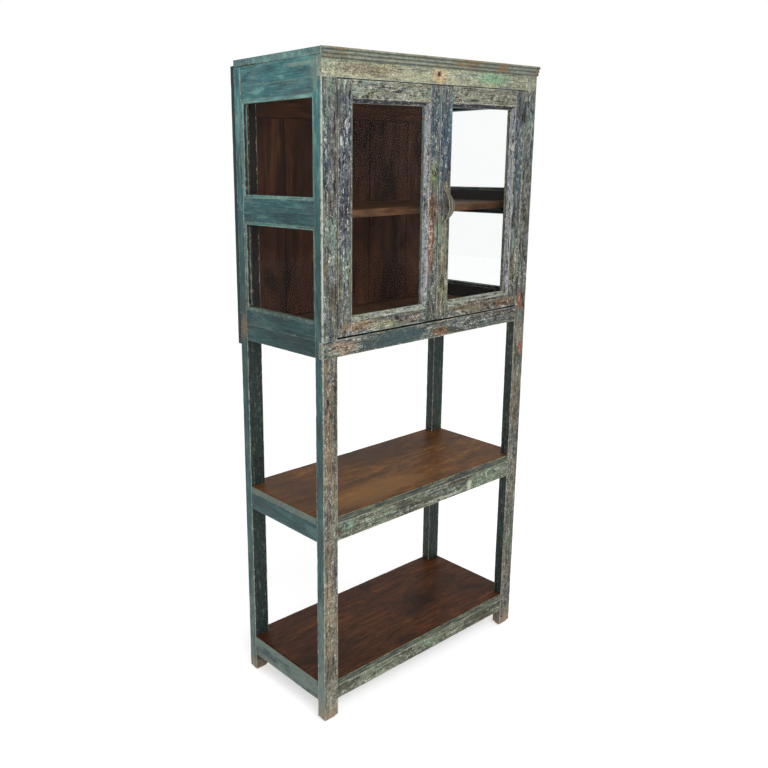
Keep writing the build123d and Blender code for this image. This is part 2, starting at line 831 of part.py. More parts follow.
staple_tip = right_door_front - staple_projection
staple_bend = staple_leg_spacing / 2
with BuildPart() as latch_staple:
    with BuildLine() as staple_path:
        legs = (staple_x - staple_bend, staple_x + staple_bend)
        Line(
            (legs[0], right_door_front + staple_leg_length, latch_pivot_height),
            (legs[0], staple_tip + staple_bend, latch_pivot_height),
        )
        ThreePointArc(
            (legs[0], staple_tip + staple_bend, latch_pivot_height),
            (staple_x, staple_tip, latch_pivot_height),
            (legs[1], staple_tip + staple_bend, latch_pivot_height),
        )
        Line(
            (legs[1], staple_tip + staple_bend, latch_pivot_height),
            (legs[1], right_door_front + staple_leg_length, latch_pivot_height),
        )
    with BuildSketch(Plane(origin=staple_path.line @ 0, z_dir=staple_path.line % 0)):
        Circle(staple_wire_radius)
    sweep()
save("latch_staple", latch_staple)


# ---------------------------------------------------------------- meeting stiles, drilled for the ironwork
def drill(x, z, face_y, radius, depth):
    """Round hole straight in from a door's front face, in the part being built."""
    with Locations((x, face_y + depth / 2, z)):
        Cylinder(radius, depth, rotation=(90, 0, 0), mode=Mode.SUBTRACT)


with BuildPart() as left_meeting_stile:
    add(door_stile(left_door_x[1], left_opening_x[1], left_door_front, opening_z).part)
    drill(latch_x, latch_pivot_height, left_door_front, latch_stud_radius + nail_clearance, latch_stud_depth)
save("left_door_meeting_stile", left_meeting_stile)

with BuildPart() as right_meeting_stile:
    add(
        door_stile(
            right_door_x[0], right_opening_x[0], right_door_front, opening_z, round_corner=meeting_corner_radius
        ).part
    )
    for level in nail_levels:
        drill(handle_x, level, right_door_front, nail_shank_radius + nail_clearance, nail_length)
    for leg in legs:
        drill(leg, latch_pivot_height, right_door_front, staple_wire_radius + nail_clearance, staple_leg_length)
save("right_door_meeting_stile", right_meeting_stile)
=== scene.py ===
"""Old painted china cabinet: worn timber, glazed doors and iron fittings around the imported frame."""
import json
import logging
import math
from dataclasses import dataclass, field
from enum import Enum
from typing import Callable, Sequence, Union

import bmesh
import bpy
import numpy as np
from mathutils import Matrix, Vector


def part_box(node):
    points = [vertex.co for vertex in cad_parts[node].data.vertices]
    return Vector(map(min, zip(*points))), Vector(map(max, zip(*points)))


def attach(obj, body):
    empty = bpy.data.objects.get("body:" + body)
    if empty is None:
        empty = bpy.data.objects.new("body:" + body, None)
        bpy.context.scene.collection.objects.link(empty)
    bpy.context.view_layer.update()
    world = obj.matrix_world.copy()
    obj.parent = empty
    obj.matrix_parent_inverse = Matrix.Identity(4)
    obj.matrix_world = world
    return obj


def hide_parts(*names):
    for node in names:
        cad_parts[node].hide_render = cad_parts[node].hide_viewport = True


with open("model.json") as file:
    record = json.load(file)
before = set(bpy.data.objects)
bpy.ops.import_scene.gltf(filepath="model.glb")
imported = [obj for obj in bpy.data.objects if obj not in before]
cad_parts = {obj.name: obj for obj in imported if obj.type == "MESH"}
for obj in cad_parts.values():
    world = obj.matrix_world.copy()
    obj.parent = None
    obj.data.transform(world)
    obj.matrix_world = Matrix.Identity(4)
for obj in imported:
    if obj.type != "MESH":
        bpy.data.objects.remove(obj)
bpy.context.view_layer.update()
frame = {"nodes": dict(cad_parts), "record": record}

LOG = logging.getLogger("china_cabinet")
MM = 0.001
SHARP_ANGLE = math.radians(50)

Colour = tuple[float, float, float]
Number = Union[int, float]


def paint(red: Number, green: Number, blue: Number) -> Colour:
    """Linear colour of a paint given on the usual 0 to 255 scale.

    Args:
        red: Red on the display's scale.
        green: Green on the display's scale.
        blue: Blue on the display's scale.

    Returns:
        The colour in linear light.
    """
    levels = (channel / 255 for channel in (red, green, blue))
    return tuple(v / 12.92 if v <= 0.04045 else ((v + 0.055) / 1.055) ** 2.4 for v in levels)


# ---------------------------------------------------------------- named choices
class Grain(Enum):
    """The row axis that a timber's grain runs along, with the two axes across it."""

    X = (0, 1, 2)
    Y = (1, 2, 0)
    Z = (2, 0, 1)

    @property
    def along(self) -> int:
        """Index of the axis along the grain."""
        return self.value[0]

    @property
    def across(self) -> tuple[int, int]:
        """Indices of the two axes across the grain, in right-handed order."""
        return self.value[1], self.value[2]


class Slot(Enum):
    """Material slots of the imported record."""

    LAYERED = "layered_paint"
    TEAL = "teal_paint"
    BOARD = "oiled_board"
    INTERIOR = "brown_interior"
    GLASS = "old_glass"
    WORN_IRON = "worn_iron"
    RUSTY_IRON = "rusty_iron"
    DARK_IRON = "dark_iron"


# ---------------------------------------------------------------- shader expressions
Operand = Union["Signal", int, float]


class Signal:
    """A number, vector or colour on its way between shader nodes."""

    def __init__(self, shader: "Shader", socket: bpy.types.NodeSocket) -> None:
        """Wraps one output socket of a shader."""
        self.shader = shader
        self.socket = socket

    def _maths(self, operation: str, *values: Operand) -> "Signal":
        """One Math node on these values."""
        return self.shader.node("Math", {"operation": operation}, dict(enumerate(values)))

    def __add__(self, other: Operand) -> "Signal":
        """self + other."""
        return self._maths("ADD", self, other)

    def __radd__(self, other: Number) -> "Signal":
        """other + self."""
        return self._maths("ADD", other, self)

    def __sub__(self, other: Operand) -> "Signal":
        """self - other."""
        return self._maths("SUBTRACT", self, other)

    def __rsub__(self, other: Number) -> "Signal":
        """other - self."""
        return self._maths("SUBTRACT", other, self)

    def __mul__(self, other: Operand) -> "Signal":
        """self * other."""
        return self._maths("MULTIPLY", self, other)

    def __rmul__(self, other: Number) -> "Signal":
        """other * self."""
        return self._maths("MULTIPLY", other, self)

    def __neg__(self) -> "Signal":
        """0 - self."""
        return self._maths("MULTIPLY", self, -1)

    def most(self, other: Operand) -> "Signal":
        """The larger of the two."""
        return self._maths("MAXIMUM", self, other)

    def stirred(self, field: "Signal", amount: float) -> "Signal":
        """This signal pushed up and down by a random field around a half."""
        return self + (field - 0.5) * amount

    def rise(self, start: float, end: float) -> "Signal":
        """Smooth step.

        Args:
            start: Value at which the step is 0; it may be above the end.
            end: Value at which it is 1.

        Returns:
            The step, from 0 to 1.
        """
        limits = {1: start, 2: end, 3: 0.0, 4: 1.0} if start < end else {1: end, 2: start, 3: 1.0, 4: 0.0}
        return self.shader.node("MapRange", {"interpolation_type": "SMOOTHSTEP"}, {0: self, **limits})


Value = Union[Signal, Number, Sequence[float]]
Coat = tuple[Value, Value]


class Shader:
    """One node material."""

    def __init__(self, name: str) -> None:
        """Starts an empty material.

        Args:
            name: The material's name.
        """
        self.material = bpy.data.materials.new(name)
        self.material.use_nodes = True
        self.tree = self.material.node_tree
        self.tree.nodes.clear()
        self.place = self.node("TexCoord", output="Object")

    def node(
        self,
        kind: str,
        settings: dict[str, object] | None = None,
        values: dict[Union[str, int], Value] | None = None,
        output: Union[str, int] = 0,
    ) -> Signal:
        """Adds a node.

        Args:
            kind: Node type without its ShaderNode prefix.
            settings: Properties, which are set first.
            values: Constants or signals for its inputs.
            output: The output that is wanted.

        Returns:
            That output.
        """
        made = self.tree.nodes.new(f"ShaderNode{kind}")
        for key, value in (settings or {}).items():
            setattr(made, key, value)
        for key, value in (values or {}).items():
            self.feed(made.inputs[key], value)
        return Signal(self, made.outputs[output])

    def feed(self, target: bpy.types.NodeSocket, value: Value) -> None:
        """Links or sets one input.

        Args:
            target: The input socket.
            value: A signal, a number or the parts of a vector or colour.
        """
        if isinstance(value, Signal):
            self.tree.links.new(value.socket, target)
        elif isinstance(value, (int, float)):
            target.default_value = value
        else:
            target.default_value = (*value, 1.0)[: len(target.default_value)]

    def parts(self, vector: Signal) -> tuple[Signal, Signal, Signal]:
        """The X, Y and Z of a vector."""
        split = self.node("SeparateXYZ", values={0: vector}).socket.node
        return tuple(Signal(self, split.outputs[axis]) for axis in range(3))

    def attribute(self, name: str, output: str = "Fac") -> Signal:
        """A value that the mesh carries."""
        return self.node("Attribute", {"attribute_name": name}, output=output)

    def stretched(self, vector: Signal, factors: Sequence[float]) -> Signal:
        """The vector, each axis times its factor."""
        return self.node("VectorMath", {"operation": "MULTIPLY"}, {0: vector, 1: factors})

    def moved(self, vector: Signal, by: Value) -> Signal:
        """The vector plus another."""
        return self.node("VectorMath", {"operation": "ADD"}, {0: vector, 1: by})

    def noise(self, vector: Signal, size: float, detail: float, rough: float, twist: float = 0.0) -> Signal:
        """Soft random field.

        Args:
            vector: Where it is read.
            size: Size of its main features, in metres.
            detail: Finer layers on top.
            rough: Strength of the finer layers.
            twist: Distortion.

        Returns:
            A value of about 0.3 to 0.7.
        """
        values = {"Scale": 1 / size, "Detail": detail, "Roughness": rough, "Distortion": twist}
        return self.node("TexNoise", values={"Vector": vector, **values})

    def over(self, below: Value, above: Value, mask: Value) -> Signal:
        """One colour laid over another through a mask."""
        settings = {"data_type": "RGBA", "clamp_factor": True}
        return self.node("Mix", settings, {0: mask, 6: below, 7: above}, 2)

    def coats(self, colour: Value, *coats: Coat) -> Signal:
        """Lays coats over a colour, one after another.

        Args:
            colour: The colour below.
            *coats: Each coat's colour and mask.

        Returns:
            The colour on top.
        """
        for above, mask in coats:
            colour = self.over(colour, above, mask)
        return colour

    def shade(self, colour: Signal, factor: Signal) -> Signal:
        """A colour times a number."""
        return self.node("VectorMath", {"operation": "SCALE"}, {0: colour, 3: factor})

    def bump(self, height: Signal, depth: float, strength: float) -> Signal:
        """Surface normal of a height of 0 to 1, depth metres deep."""
        return self.node("Bump", values={"Height": height, "Distance": depth, "Strength": strength})

    def surface(self, **values: Value) -> bpy.types.Material:
        """Ends the material in one Principled surface.

        Args:
            **values: Its inputs, with underscores for spaces.

        Returns:
            The finished material.
        """
        inputs = {name.replace("_", " "): value for name, value in values.items()}
        return self.end(self.node("BsdfPrincipled", values=inputs))

    def end(self, closure: Signal) -> bpy.types.Material:
        """Links a closure to the material's output and returns the material."""
        self.tree.links.new(closure.socket, self.tree.nodes.new("ShaderNodeOutputMaterial").inputs["Surface"])
        return self.material


# ---------------------------------------------------------------- finishes
FRONT_FACE = -0.174
DOOR_FACE = -0.176
CORNICE_FACE = -0.182
LEFT_FACE = -0.42
THROUGH = 0.03


@dataclass(frozen=True)
class Patch:
    """A local stain, worn place or patch of painted light or shade, with its reach to every side of its
    centre.
    """

    centre: tuple[float, float, float]
    reach: tuple[float, float, float]
    colour: Colour
    strength: float = 1.0


def front_mark(
    x: float,
    z: float,
    wide: float,
    high: float,
    colour: Colour,
    strength: float = 1.0,
    face: float = FRONT_FACE,
) -> Patch:
    """A local mark on the front of the cabinet.

    Args:
        x: Its centre, to the right.
        z: Its height above the floor.
        wide: Its reach to either side.
        high: Its reach up and down.
        colour: Its colour.
        strength: How much it covers.
        face: Depth of the face that it lies on.

    Returns:
        The mark.
    """
    return Patch((x, face, z), (wide, THROUGH, high), colour, strength)


class WoodShader(Shader):
    """A shader with the fields that every timber finish shares."""

    def __init__(self, name: str, grain: Grain) -> None:
        """Reads the mesh's own fields.

        Args:
            name: The material's name.
            grain: The axis that the grain runs along.
        """
        super().__init__(f"{name}_{grain.name.lower()}")
        self.grain = grain
        piece = self.attribute("piece")
        offset = self.node("CombineXYZ", values={0: piece * 3.1, 1: piece * 5.7, 2: piece * 4.3})
        self.own = self.moved(self.place, offset)
        self.facing = self.parts(self.attribute("facing", "Vector"))
        self.wide, self.deep, self.height = self.parts(self.place)
        self.grit = self.noise(self.moved(self.own, (3.0, 8.0, 1.0)), 0.0034, 3, 0.8)
        self.arris = self.attribute("arris")
        self.ends = self.attribute("ends")

    def drawn(self, factor: float) -> Signal:
        """Place in the timber, drawn out along the grain by 1 / factor."""
        factors = tuple(factor if axis == self.grain.along else 1.0 for axis in range(3))
        return self.stretched(self.own, factors)

    def fibres(
        self,
        factor: float,
        size: float,
        detail: float,
        rough: float,
        twist: float = 0.0,
        start: Value | None = None,
    ) -> Signal:
        """Random field drawn out along the grain.

        Args:
            factor: Its size across the grain as a share of that along it.
            size: Size of its main features across the grain, in metres.
            detail: Finer layers on top.
            rough: Strength of the finer layers.
            twist: Distortion.
            start: Offset that sets it apart from other fields.

        Returns:
            The field.
        """
        place = self.drawn(factor)
        return self.noise(self.moved(place, start) if start else place, size, detail, rough, twist)

    def patched(self, colour: Signal, marks: Sequence[Patch], ragged: Signal) -> Signal:
        """Lays local marks over a colour, each with a ragged edge.

        Args:
            colour: The colour so far.
            marks: The marks, from the lowest up.
            ragged: A field that breaks up their edges.

        Returns:
            The colour with the marks.
        """
        for mark in marks:
            offset = self.moved(self.place, tuple(-c for c in mark.centre))
            scaled = self.stretched(offset, tuple(1 / r for r in mark.reach))
            distance = self.node("VectorMath", {"operation": "LENGTH"}, {0: scaled}, "Value")
            edge = distance.stirred(ragged, 1.6).stirred(self.grit, 1.8)
            colour = self.over(colour, mark.colour, edge.rise(1.15, 0.5) * mark.strength)
        return colour


class PaintShader(WoodShader):
    """A shader with the fields that the old paint is built from."""

    def __init__(self, grain: Grain) -> None:
        """Draws the fields.

        Args:
            grain: The axis that the grain runs along.
        """
        super().__init__("layered_paint", grain)
        facing = self.facing[0]
        self.inward = (self.wide * facing).rise(-0.1, -0.3) * (facing * facing).rise(0.7, 0.9)
        self.ragged = self.noise(self.moved(self.own, (1.0, 6.0, 2.0)), 0.012, 4, 0.65)
        self.broad = self.fibres(0.4, 0.05, 4, 0.6, start=(7.0, 3.0, 5.0))
        self.streaks = self.fibres(0.12, 0.007, 5, 0.65)
        self.hair = self.fibres(0.035, 0.0026, 3, 0.6)
        self.speck = self.fibres(0.5, 0.010, 7, 0.88)
        self.reeds = self.height.rise(1.8025, 1.8035)


@dataclass(frozen=True)
class LayeredPaint:
    """Many coats of old paint: teal on the sides, flaked to cream, green and blue on the front."""

    edge_wear: float = 1.0
    teal: Colour = paint(44, 80, 82)
    teal_light: Colour = paint(92, 128, 120)
    teal_dark: Colour = paint(24, 42, 48)
    dusty_teal: Colour = paint(120, 130, 120)
    navy: Colour = paint(34, 50, 76)
    # Painted light on slanted front faces: deep navy shade where they face down, blue-grey light where they
    # face left, chalk highlight where they face up.
    navy_bevel_shade: Colour = paint(30, 34, 50)
    lit_bevel_blue: Colour = paint(134, 138, 146)
    chalk_bevel_highlight: Colour = paint(160, 168, 152)
    slate: Colour = paint(62, 72, 76)
    grey: Colour = paint(106, 112, 106)
    olive: Colour = paint(96, 92, 66)
    sage: Colour = paint(168, 168, 138)
    # Moss green: a real tone in patches on the legs, and the painted shadow on the down-facing sides of the
    # cornice reeds.
    moss_and_groove_shade: Colour = paint(50, 62, 48)
    ochre: Colour = paint(132, 88, 54)
    beige: Colour = paint(120, 104, 82)
    mint: Colour = paint(116, 146, 124)
    earth: Colour = paint(88, 68, 52)
    cream: Colour = paint(208, 206, 192)
    pit: Colour = paint(22, 22, 24)
    wood: Colour = paint(104, 80, 60)
    foot: Colour = paint(150, 124, 100)
    inner: Colour = paint(32, 24, 20)
    under: Colour = paint(34, 52, 48)
    dust: Colour = paint(104, 104, 88)
    verdigris: Colour = paint(100, 112, 92)

    def marks_below(self) -> tuple[Patch, ...]:
        """The local marks under the flecks of the later coats.

        Returns:
            The marks, from the lowest up.
        """
        return (
            front_mark(-0.006, 1.784, 0.030, 0.026, paint(184, 156, 114), 0.8),
            front_mark(0.215, 1.786, 0.085, 0.018, paint(112, 158, 122), 0.7),
            front_mark(-0.29, 1.785, 0.12, 0.016, paint(112, 92, 68), 0.6),
            front_mark(0.022, 1.089, 0.036, 0.014, paint(130, 84, 42), 0.9),
            front_mark(0.21, 1.088, 0.12, 0.020, paint(58, 72, 68), 0.6),
            front_mark(-0.29, 1.146, 0.07, 0.016, paint(146, 120, 92), 0.85),
            front_mark(-0.2, 1.140, 0.06, 0.014, paint(152, 150, 114), 0.75),
            front_mark(-0.10, 1.143, 0.05, 0.018, paint(112, 98, 82), 0.6),
            front_mark(0.31, 1.142, 0.07, 0.016, paint(124, 82, 50), 0.7, DOOR_FACE),
            front_mark(0.16, 1.145, 0.13, 0.020, paint(112, 98, 70), 0.7, DOOR_FACE),
            front_mark(-0.345, 1.095, 0.055, 0.022, paint(156, 130, 106), 0.7),
            front_mark(-0.024, 1.355, 0.012, 0.10, paint(112, 50, 34), 0.95),
            front_mark(-0.020, 1.445, 0.022, 0.032, paint(142, 96, 60), 0.9),
            front_mark(-0.020, 1.525, 0.014, 0.044, paint(128, 138, 88), 0.7),
            front_mark(0.025, 1.62, 0.026, 0.14, paint(34, 62, 86), 0.75, DOOR_FACE),
            front_mark(0.025, 1.25, 0.026, 0.14, paint(106, 100, 72), 0.75, DOOR_FACE),
            front_mark(-0.020, 1.66, 0.020, 0.09, paint(44, 66, 84), 0.6),
            front_mark(0.345, 1.55, 0.022, 0.20, paint(44, 64, 82), 0.65, DOOR_FACE),
            front_mark(0.345, 1.22, 0.022, 0.09, paint(96, 88, 66), 0.6, DOOR_FACE),
            front_mark(-0.345, 1.50, 0.010, 0.24, paint(34, 48, 78), 0.7),
            front_mark(0.392, 1.137, 0.012, 0.036, paint(140, 62, 36), 0.85),
            front_mark(0.402, 0.985, 0.010, 0.028, paint(140, 70, 44), 0.8),
            front_mark(0.396, 0.80, 0.016, 0.10, paint(112, 92, 66), 0.6),
            front_mark(0.400, 0.36, 0.014, 0.12, paint(78, 108, 80), 0.6),
            front_mark(-0.404, 0.82, 0.022, 0.24, paint(112, 94, 72), 0.75),
            front_mark(-0.404, 0.34, 0.022, 0.20, paint(136, 122, 96), 0.7),
            front_mark(-0.33, 0.590, 0.030, 0.016, paint(120, 150, 130), 0.7),
            front_mark(0.05, 0.565, 0.10, 0.008, paint(176, 178, 160), 0.6),
        )

    def marks_above(self) -> tuple[Patch, ...]:
        """The local marks over the flecks, on the fronts and the left side.

        Returns:
            The marks, from the lowest up.
        """
        return (
            front_mark(-0.008, 1.787, 0.010, 0.009, paint(60, 36, 24)),
            front_mark(0.026, 1.093, 0.012, 0.006, paint(58, 36, 22), 0.9),
            front_mark(-0.15, 1.092, 0.15, 0.030, paint(44, 66, 70), 0.85),
            front_mark(-0.153, 1.149, 0.010, 0.009, paint(40, 28, 24)),
            front_mark(0.421, 1.816, 0.012, 0.020, paint(92, 58, 44), 0.9, CORNICE_FACE),
            Patch((LEFT_FACE, FRONT_FACE, 1.42), (0.0035, 0.006, 0.48), paint(206, 206, 192), 0.65),
            Patch((LEFT_FACE, 0.172, 1.105), (THROUGH, 0.014, 0.042), paint(128, 96, 64), 0.7),
            Patch((LEFT_FACE, -0.150, 1.775), (THROUGH, 0.016, 0.05), paint(122, 132, 118), 0.55),
            Patch((LEFT_FACE, -0.10, 1.797), (THROUGH, 0.07, 0.006), paint(150, 158, 140), 0.5),
            Patch((LEFT_FACE, 0.13, 1.8125), (0.02, 0.05, 0.0022), paint(16, 16, 18), 0.9),
            front_mark(-0.404, 0.957, 0.005, 0.014, paint(34, 24, 20)),
            front_mark(0.18, 0.575, 0.012, 0.020, paint(176, 186, 166), 0.8),
        )

    def side_colour(self, s: PaintShader) -> Signal:
        """Smooth teal with faint strokes, as on the sides, lighter towards the top with painted light.

        Args:
            s: The shader.

        Returns:
            The colour.
        """
        cloudy = s.fibres(0.3, 0.030, 5, 0.6, start=(6.0, 2.0, 9.0))
        dusty = s.facing[2].rise(0.5, 0.9) * s.broad.stirred(s.speck, 0.4).rise(0.42, 0.60)
        colour = s.coats(
            self.teal,
            (self.teal_dark, (s.streaks * 0.4 + cloudy * 0.6).rise(0.48, 0.60) * 0.6),
            (self.teal_light, cloudy.rise(0.46, 0.34) * 0.45),
            (self.teal_light, s.hair.rise(0.48, 0.66) * s.streaks.rise(0.58, 0.40) * 0.45),
            (self.slate, s.broad.rise(0.5, 0.66) * 0.5),
            (self.teal_light, s.speck.rise(0.56, 0.66) * 0.3),
            (self.pit, s.hair.stirred(s.speck, 0.5).rise(0.40, 0.32) * 0.5),
            (s.over(self.dust, self.slate, s.streaks.rise(0.44, 0.60)), dusty * 0.55),
        )
        colour = s.shade(colour, s.grit.rise(0.36, 0.64) * 0.26 + 0.87)
        colour = s.over(colour, self.dusty_teal, s.height.rise(0.65, 0.0) * cloudy.rise(0.62, 0.40) * 0.7)
        # Painted light: the sides get lighter towards the top, as if lit from above. They are also a little
        # lighter below the cupboard and on upright timbers.
        upright = 1.12 if s.grain is Grain.Z else 1.0
        light = s.height.rise(1.18, 1.92) * 1.45 + s.height.rise(1.10, 1.00) * 0.12 + 0.73
        return s.shade(colour, light * upright)

    def front_colour(self, s: PaintShader) -> Signal:
        """Flaked coats in upright strokes, as on the fronts.

        Args:
            s: The shader.

        Returns:
            The colour.
        """
        broad, streaks, speck = s.broad, s.streaks, s.speck
        stroke = s.fibres(0.07, 0.011, 6, 0.7, start=(4.0, 1.0, 8.0))
        other = s.fibres(0.07, 0.009, 6, 0.7, start=(9.0, 5.0, 2.0))
        flecks = s.fibres(0.6, 0.009, 7, 0.9, start=(2.0, 9.0, 4.0))
        frieze = s.height.rise(1.760, 1.764)
        rail = s.height.rise(1.712, 1.720) * (1 - frieze) * (0.5 if s.grain is Grain.X else 0.1)
        legs = s.height.rise(1.10, 1.04)
        upper = s.height.rise(1.22, 1.60)
        mossy = other.stirred(broad, 0.8)
        colour = s.coats(
            self.grey,
            (self.slate, stroke.rise(0.42, 0.58)),
            (self.navy, other.rise(0.48, 0.58) * (upper * 0.7 + 0.2) * (1 - legs * 0.75)),
            (self.olive, other.rise(0.50, 0.40) * (0.95 - upper * 0.45)),
            (self.earth, (stroke + (broad - 0.5)).rise(0.45, 0.34) * (legs * 0.35 + 0.5)),
            (self.beige, legs * (broad + streaks * 0.4).rise(0.60, 0.78) * 0.6),
            (self.moss_and_groove_shade, legs * mossy.rise(0.48, 0.38) * 0.5),
        )
        if s.grain is Grain.X:
            colour = s.over(colour, self.verdigris, legs * mossy.rise(0.36, 0.54) * 0.8)
        colour = s.coats(
            colour,
            (self.sage, (frieze * 0.95 + rail) * streaks.rise(0.72, 0.40)),
            (self.mint, broad.stirred(other, 0.6).rise(0.56, 0.66) * 0.35),
        )
        colour = s.patched(colour, self.marks_below(), s.ragged)
        # Painted light on slanted front faces such as the bevels around the glass: darker deep navy where
        # they face down, lighter blue-grey where they face left towards the light, a chalk highlight where
        # they face up.
        tilt = s.facing[1].rise(-0.95, -0.85)
        calm = 1 - (frieze * 0.5).most(legs * 0.2)
        colour = s.coats(
            colour,
            (self.navy_bevel_shade, s.facing[2].rise(-0.35, -0.55) * tilt * 0.9),
            (self.lit_bevel_blue, s.facing[0].rise(-0.35, -0.55) * tilt * 0.7),
            (self.chalk_bevel_highlight, s.facing[2].rise(0.35, 0.55) * tilt * 0.75),
            (self.cream, speck.stirred(stroke, 0.5).rise(0.54, 0.68) * calm * 0.8),
            (self.cream, flecks.stirred(other, 0.4).rise(0.57, 0.61) * calm * 0.65),
            (self.pit, flecks.stirred(streaks, 0.6).rise(0.48, 0.41) * calm * 0.95),
            (self.pit, s.hair.stirred(broad, 0.4).rise(0.43, 0.36) * calm * 0.85),
        )
        colour = s.shade(colour, s.grit.rise(0.38, 0.62) + 0.60)
        # Painted shade: the front darker towards the right, away from the light on the left; it is also
        # darker from the bottom of the doors down to the stand.
        right = s.wide.rise(0.0, 0.40) * (frieze * 0.08 + 0.11)
        right_shade_and_low_darkening = right + s.height.rise(1.19, 1.15) * (1 - legs) * 0.07
        colour = s.shade(colour, 1 - right_shade_and_low_darkening)
        # The cornice reeds are darker overall. Painted shadow puts dark moss green on their down-facing
        # sides, between the reeds. Their up-facing tops get cream flecks, partly worn paint and partly a
        # painted highlight.
        colour = s.shade(colour, 1 - s.reeds * 0.42)
        return s.coats(
            colour,
            (self.moss_and_groove_shade, s.reeds * s.facing[2].rise(0.1, -0.5) * 0.95),
            (self.cream, s.reeds * s.facing[2].rise(0.3, 0.8) * speck.rise(0.42, 0.56) * 0.6),
            (self.ochre, s.reeds * broad.stirred(speck, 0.8).rise(0.55, 0.66) * 0.8),
        )

    def hidden_colour(self, s: PaintShader) -> Signal:
        """Stained timber inside the cupboard and darker teal on the inward faces of the stand.

        Args:
            s: The shader.

        Returns:
            The colour.
        """
        inside = s.over(self.inner, self.pit, s.streaks.rise(0.42, 0.62) * 0.8)
        under = s.coats(
            self.under,
            (self.pit, s.streaks.rise(0.44, 0.60) * 0.85),
            (self.slate, s.speck.stirred(s.streaks, 0.6).rise(0.50, 0.62) * 0.6),
            (self.sage, s.speck.stirred(s.hair, 0.8).rise(0.60, 0.66) * 0.35),
        )
        return s.over(under, inside, s.height.rise(1.095, 1.105))

    def material(self, grain: Grain) -> bpy.types.Material:
        """The finish for timber with that grain.

        Args:
            grain: The axis that the grain runs along.

        Returns:
            The material.
        """
        s = PaintShader(grain)
        front = (-s.facing[1]).stirred(s.broad, 0.3).rise(0.35, 0.6)
        colour = s.over(self.side_colour(s), self.front_colour(s), front)
        rear = s.deep.rise(0.10, 0.11) * s.facing[1].rise(-0.4, -0.8)
        hidden = s.inward.most(s.facing[1].rise(0.4, 0.8)).most(rear)
        colour = s.over(colour, self.hidden_colour(s), hidden)
        colour = s.patched(colour, self.marks_above(), s.ragged)
        wear = (s.arris + (0.56 - s.ragged) * 0.022).rise(0.0022, 0.0002)
        line = s.arris.rise(0.0014, 0.0003) * s.speck.rise(0.38, 0.54) * 0.55
        bare = (s.arris + (0.62 - s.ragged) * 0.03).rise(0.0026, 0.0)
        kept = 1 - s.reeds * front * 0.8
        joint = s.ends.rise(0.0016, 0.0004) * s.ends.rise(0.00001, 0.0001)
        edge = s.over(self.cream, self.sage, s.broad.rise(0.45, 0.6))
        colour = s.coats(
            colour,
            (edge, wear.most(line) * kept * 0.7 * self.edge_wear),
            (self.wood, bare * kept * 0.9 * self.edge_wear),
            (self.foot, s.height.stirred(s.ragged, 0.2).rise(0.08, 0.0) * 0.6),
            (self.pit, joint * 0.7),
        )
        relief = s.speck * 0.7 + s.streaks * 0.4 + s.hair * 0.4
        flat = s.streaks * 0.35 + s.hair * 0.3
        height = relief * front + flat * (1 - front)
        return s.surface(
            Base_Color=colour,
            Roughness=(0.56 + front * 0.14).stirred(s.speck, 0.3),
            Specular_IOR_Level=0.3,
            Normal=s.bump(height, 0.0009, 0.8),
        )


@dataclass(frozen=True)
class OiledBoard:
    """Warm brown boards, oiled on the faces, with paint on the edges where painted is set."""

    name: str = "oiled_board"
    deep: Colour = paint(60, 38, 20)
    body: Colour = paint(112, 72, 34)
    gold: Colour = paint(160, 110, 54)
    edge: Colour = paint(58, 68, 62)
    edge_light: Colour = paint(128, 136, 112)
    edge_dark: Colour = paint(28, 34, 34)
    edge_worn: Colour = paint(104, 78, 52)
    edge_end: Colour = paint(86, 106, 104)
    painted: bool = True
    patches: tuple[Patch, ...] = ()

    def edge_colour(self, s: WoodShader) -> Signal:
        """Old paint along the board's edges.

        Args:
            s: The shader.

        Returns:
            The colour.
        """
        ragged = s.noise(s.own, 0.012, 4, 0.65)
        streaks = s.fibres(0.12, 0.006, 5, 0.65)
        return s.coats(
            self.edge,
            (self.edge_light, streaks.rise(0.48, 0.66) * 0.7),
            (self.edge_dark, streaks.rise(0.48, 0.36) * 0.8),
            (self.edge_worn, ragged.stirred(s.grit, 0.5).rise(0.56, 0.66) * 0.7),
            (self.edge_light, s.arris.rise(0.0018, 0.0004) * ragged.rise(0.36, 0.56) * 0.8),
            (self.edge_end, s.facing[0].rise(-0.4, -0.8) * 0.7),
        )

    def material(self, grain: Grain) -> bpy.types.Material:
        """The finish for a board with that grain.

        Args:
            grain: The axis that the grain runs along.

        Returns:
            The material.
        """
        s = WoodShader(self.name, grain)
        figure = s.fibres(0.09, 0.024, 6, 0.68, 1.6)
        fibre = s.fibres(0.035, 0.0022, 4, 0.7)
        cloud = s.fibres(0.4, 0.10, 5, 0.65, 0.5)
        mottle = s.fibres(0.4, 0.020, 6, 0.75, start=(5.0, 2.0, 1.0))
        cells = {"Vector": s.drawn(0.5), "Scale": 1 / 0.11}
        stain = s.node("TexVoronoi", {"feature": "F1"}, cells, "Distance")
        colour = s.coats(
            self.body,
            (self.deep, figure.rise(0.46, 0.70) * 0.6),
            (self.gold, figure.rise(0.52, 0.34) * cloud.rise(0.44, 0.60) * 0.75),
            (self.deep, fibre.rise(0.52, 0.7) * 0.45),
            (self.deep, cloud.rise(0.48, 0.36) * 0.7),
            (self.gold, mottle.rise(0.52, 0.64) * cloud.rise(0.40, 0.56) * 0.5),
            (self.deep, mottle.rise(0.47, 0.36) * 0.5),
            (self.deep, stain.rise(0.16, 0.05) * 0.6),
        )
        if self.painted:
            colour = s.over(colour, self.edge_colour(s), s.facing[2].rise(0.75, 0.5))
        colour = s.patched(colour, self.patches, cloud)
        colour = s.shade(colour, s.grit.rise(0.36, 0.64) * 0.2 + 0.9)
        return s.surface(
            Base_Color=colour,
            Roughness=0.42 + (fibre - 0.5) * 0.3 + (cloud - 0.5) * 0.3,
            Specular_IOR_Level=0.15,
            Normal=s.bump(fibre * 0.6 + figure * 0.4, 0.0005, 0.7),
        )


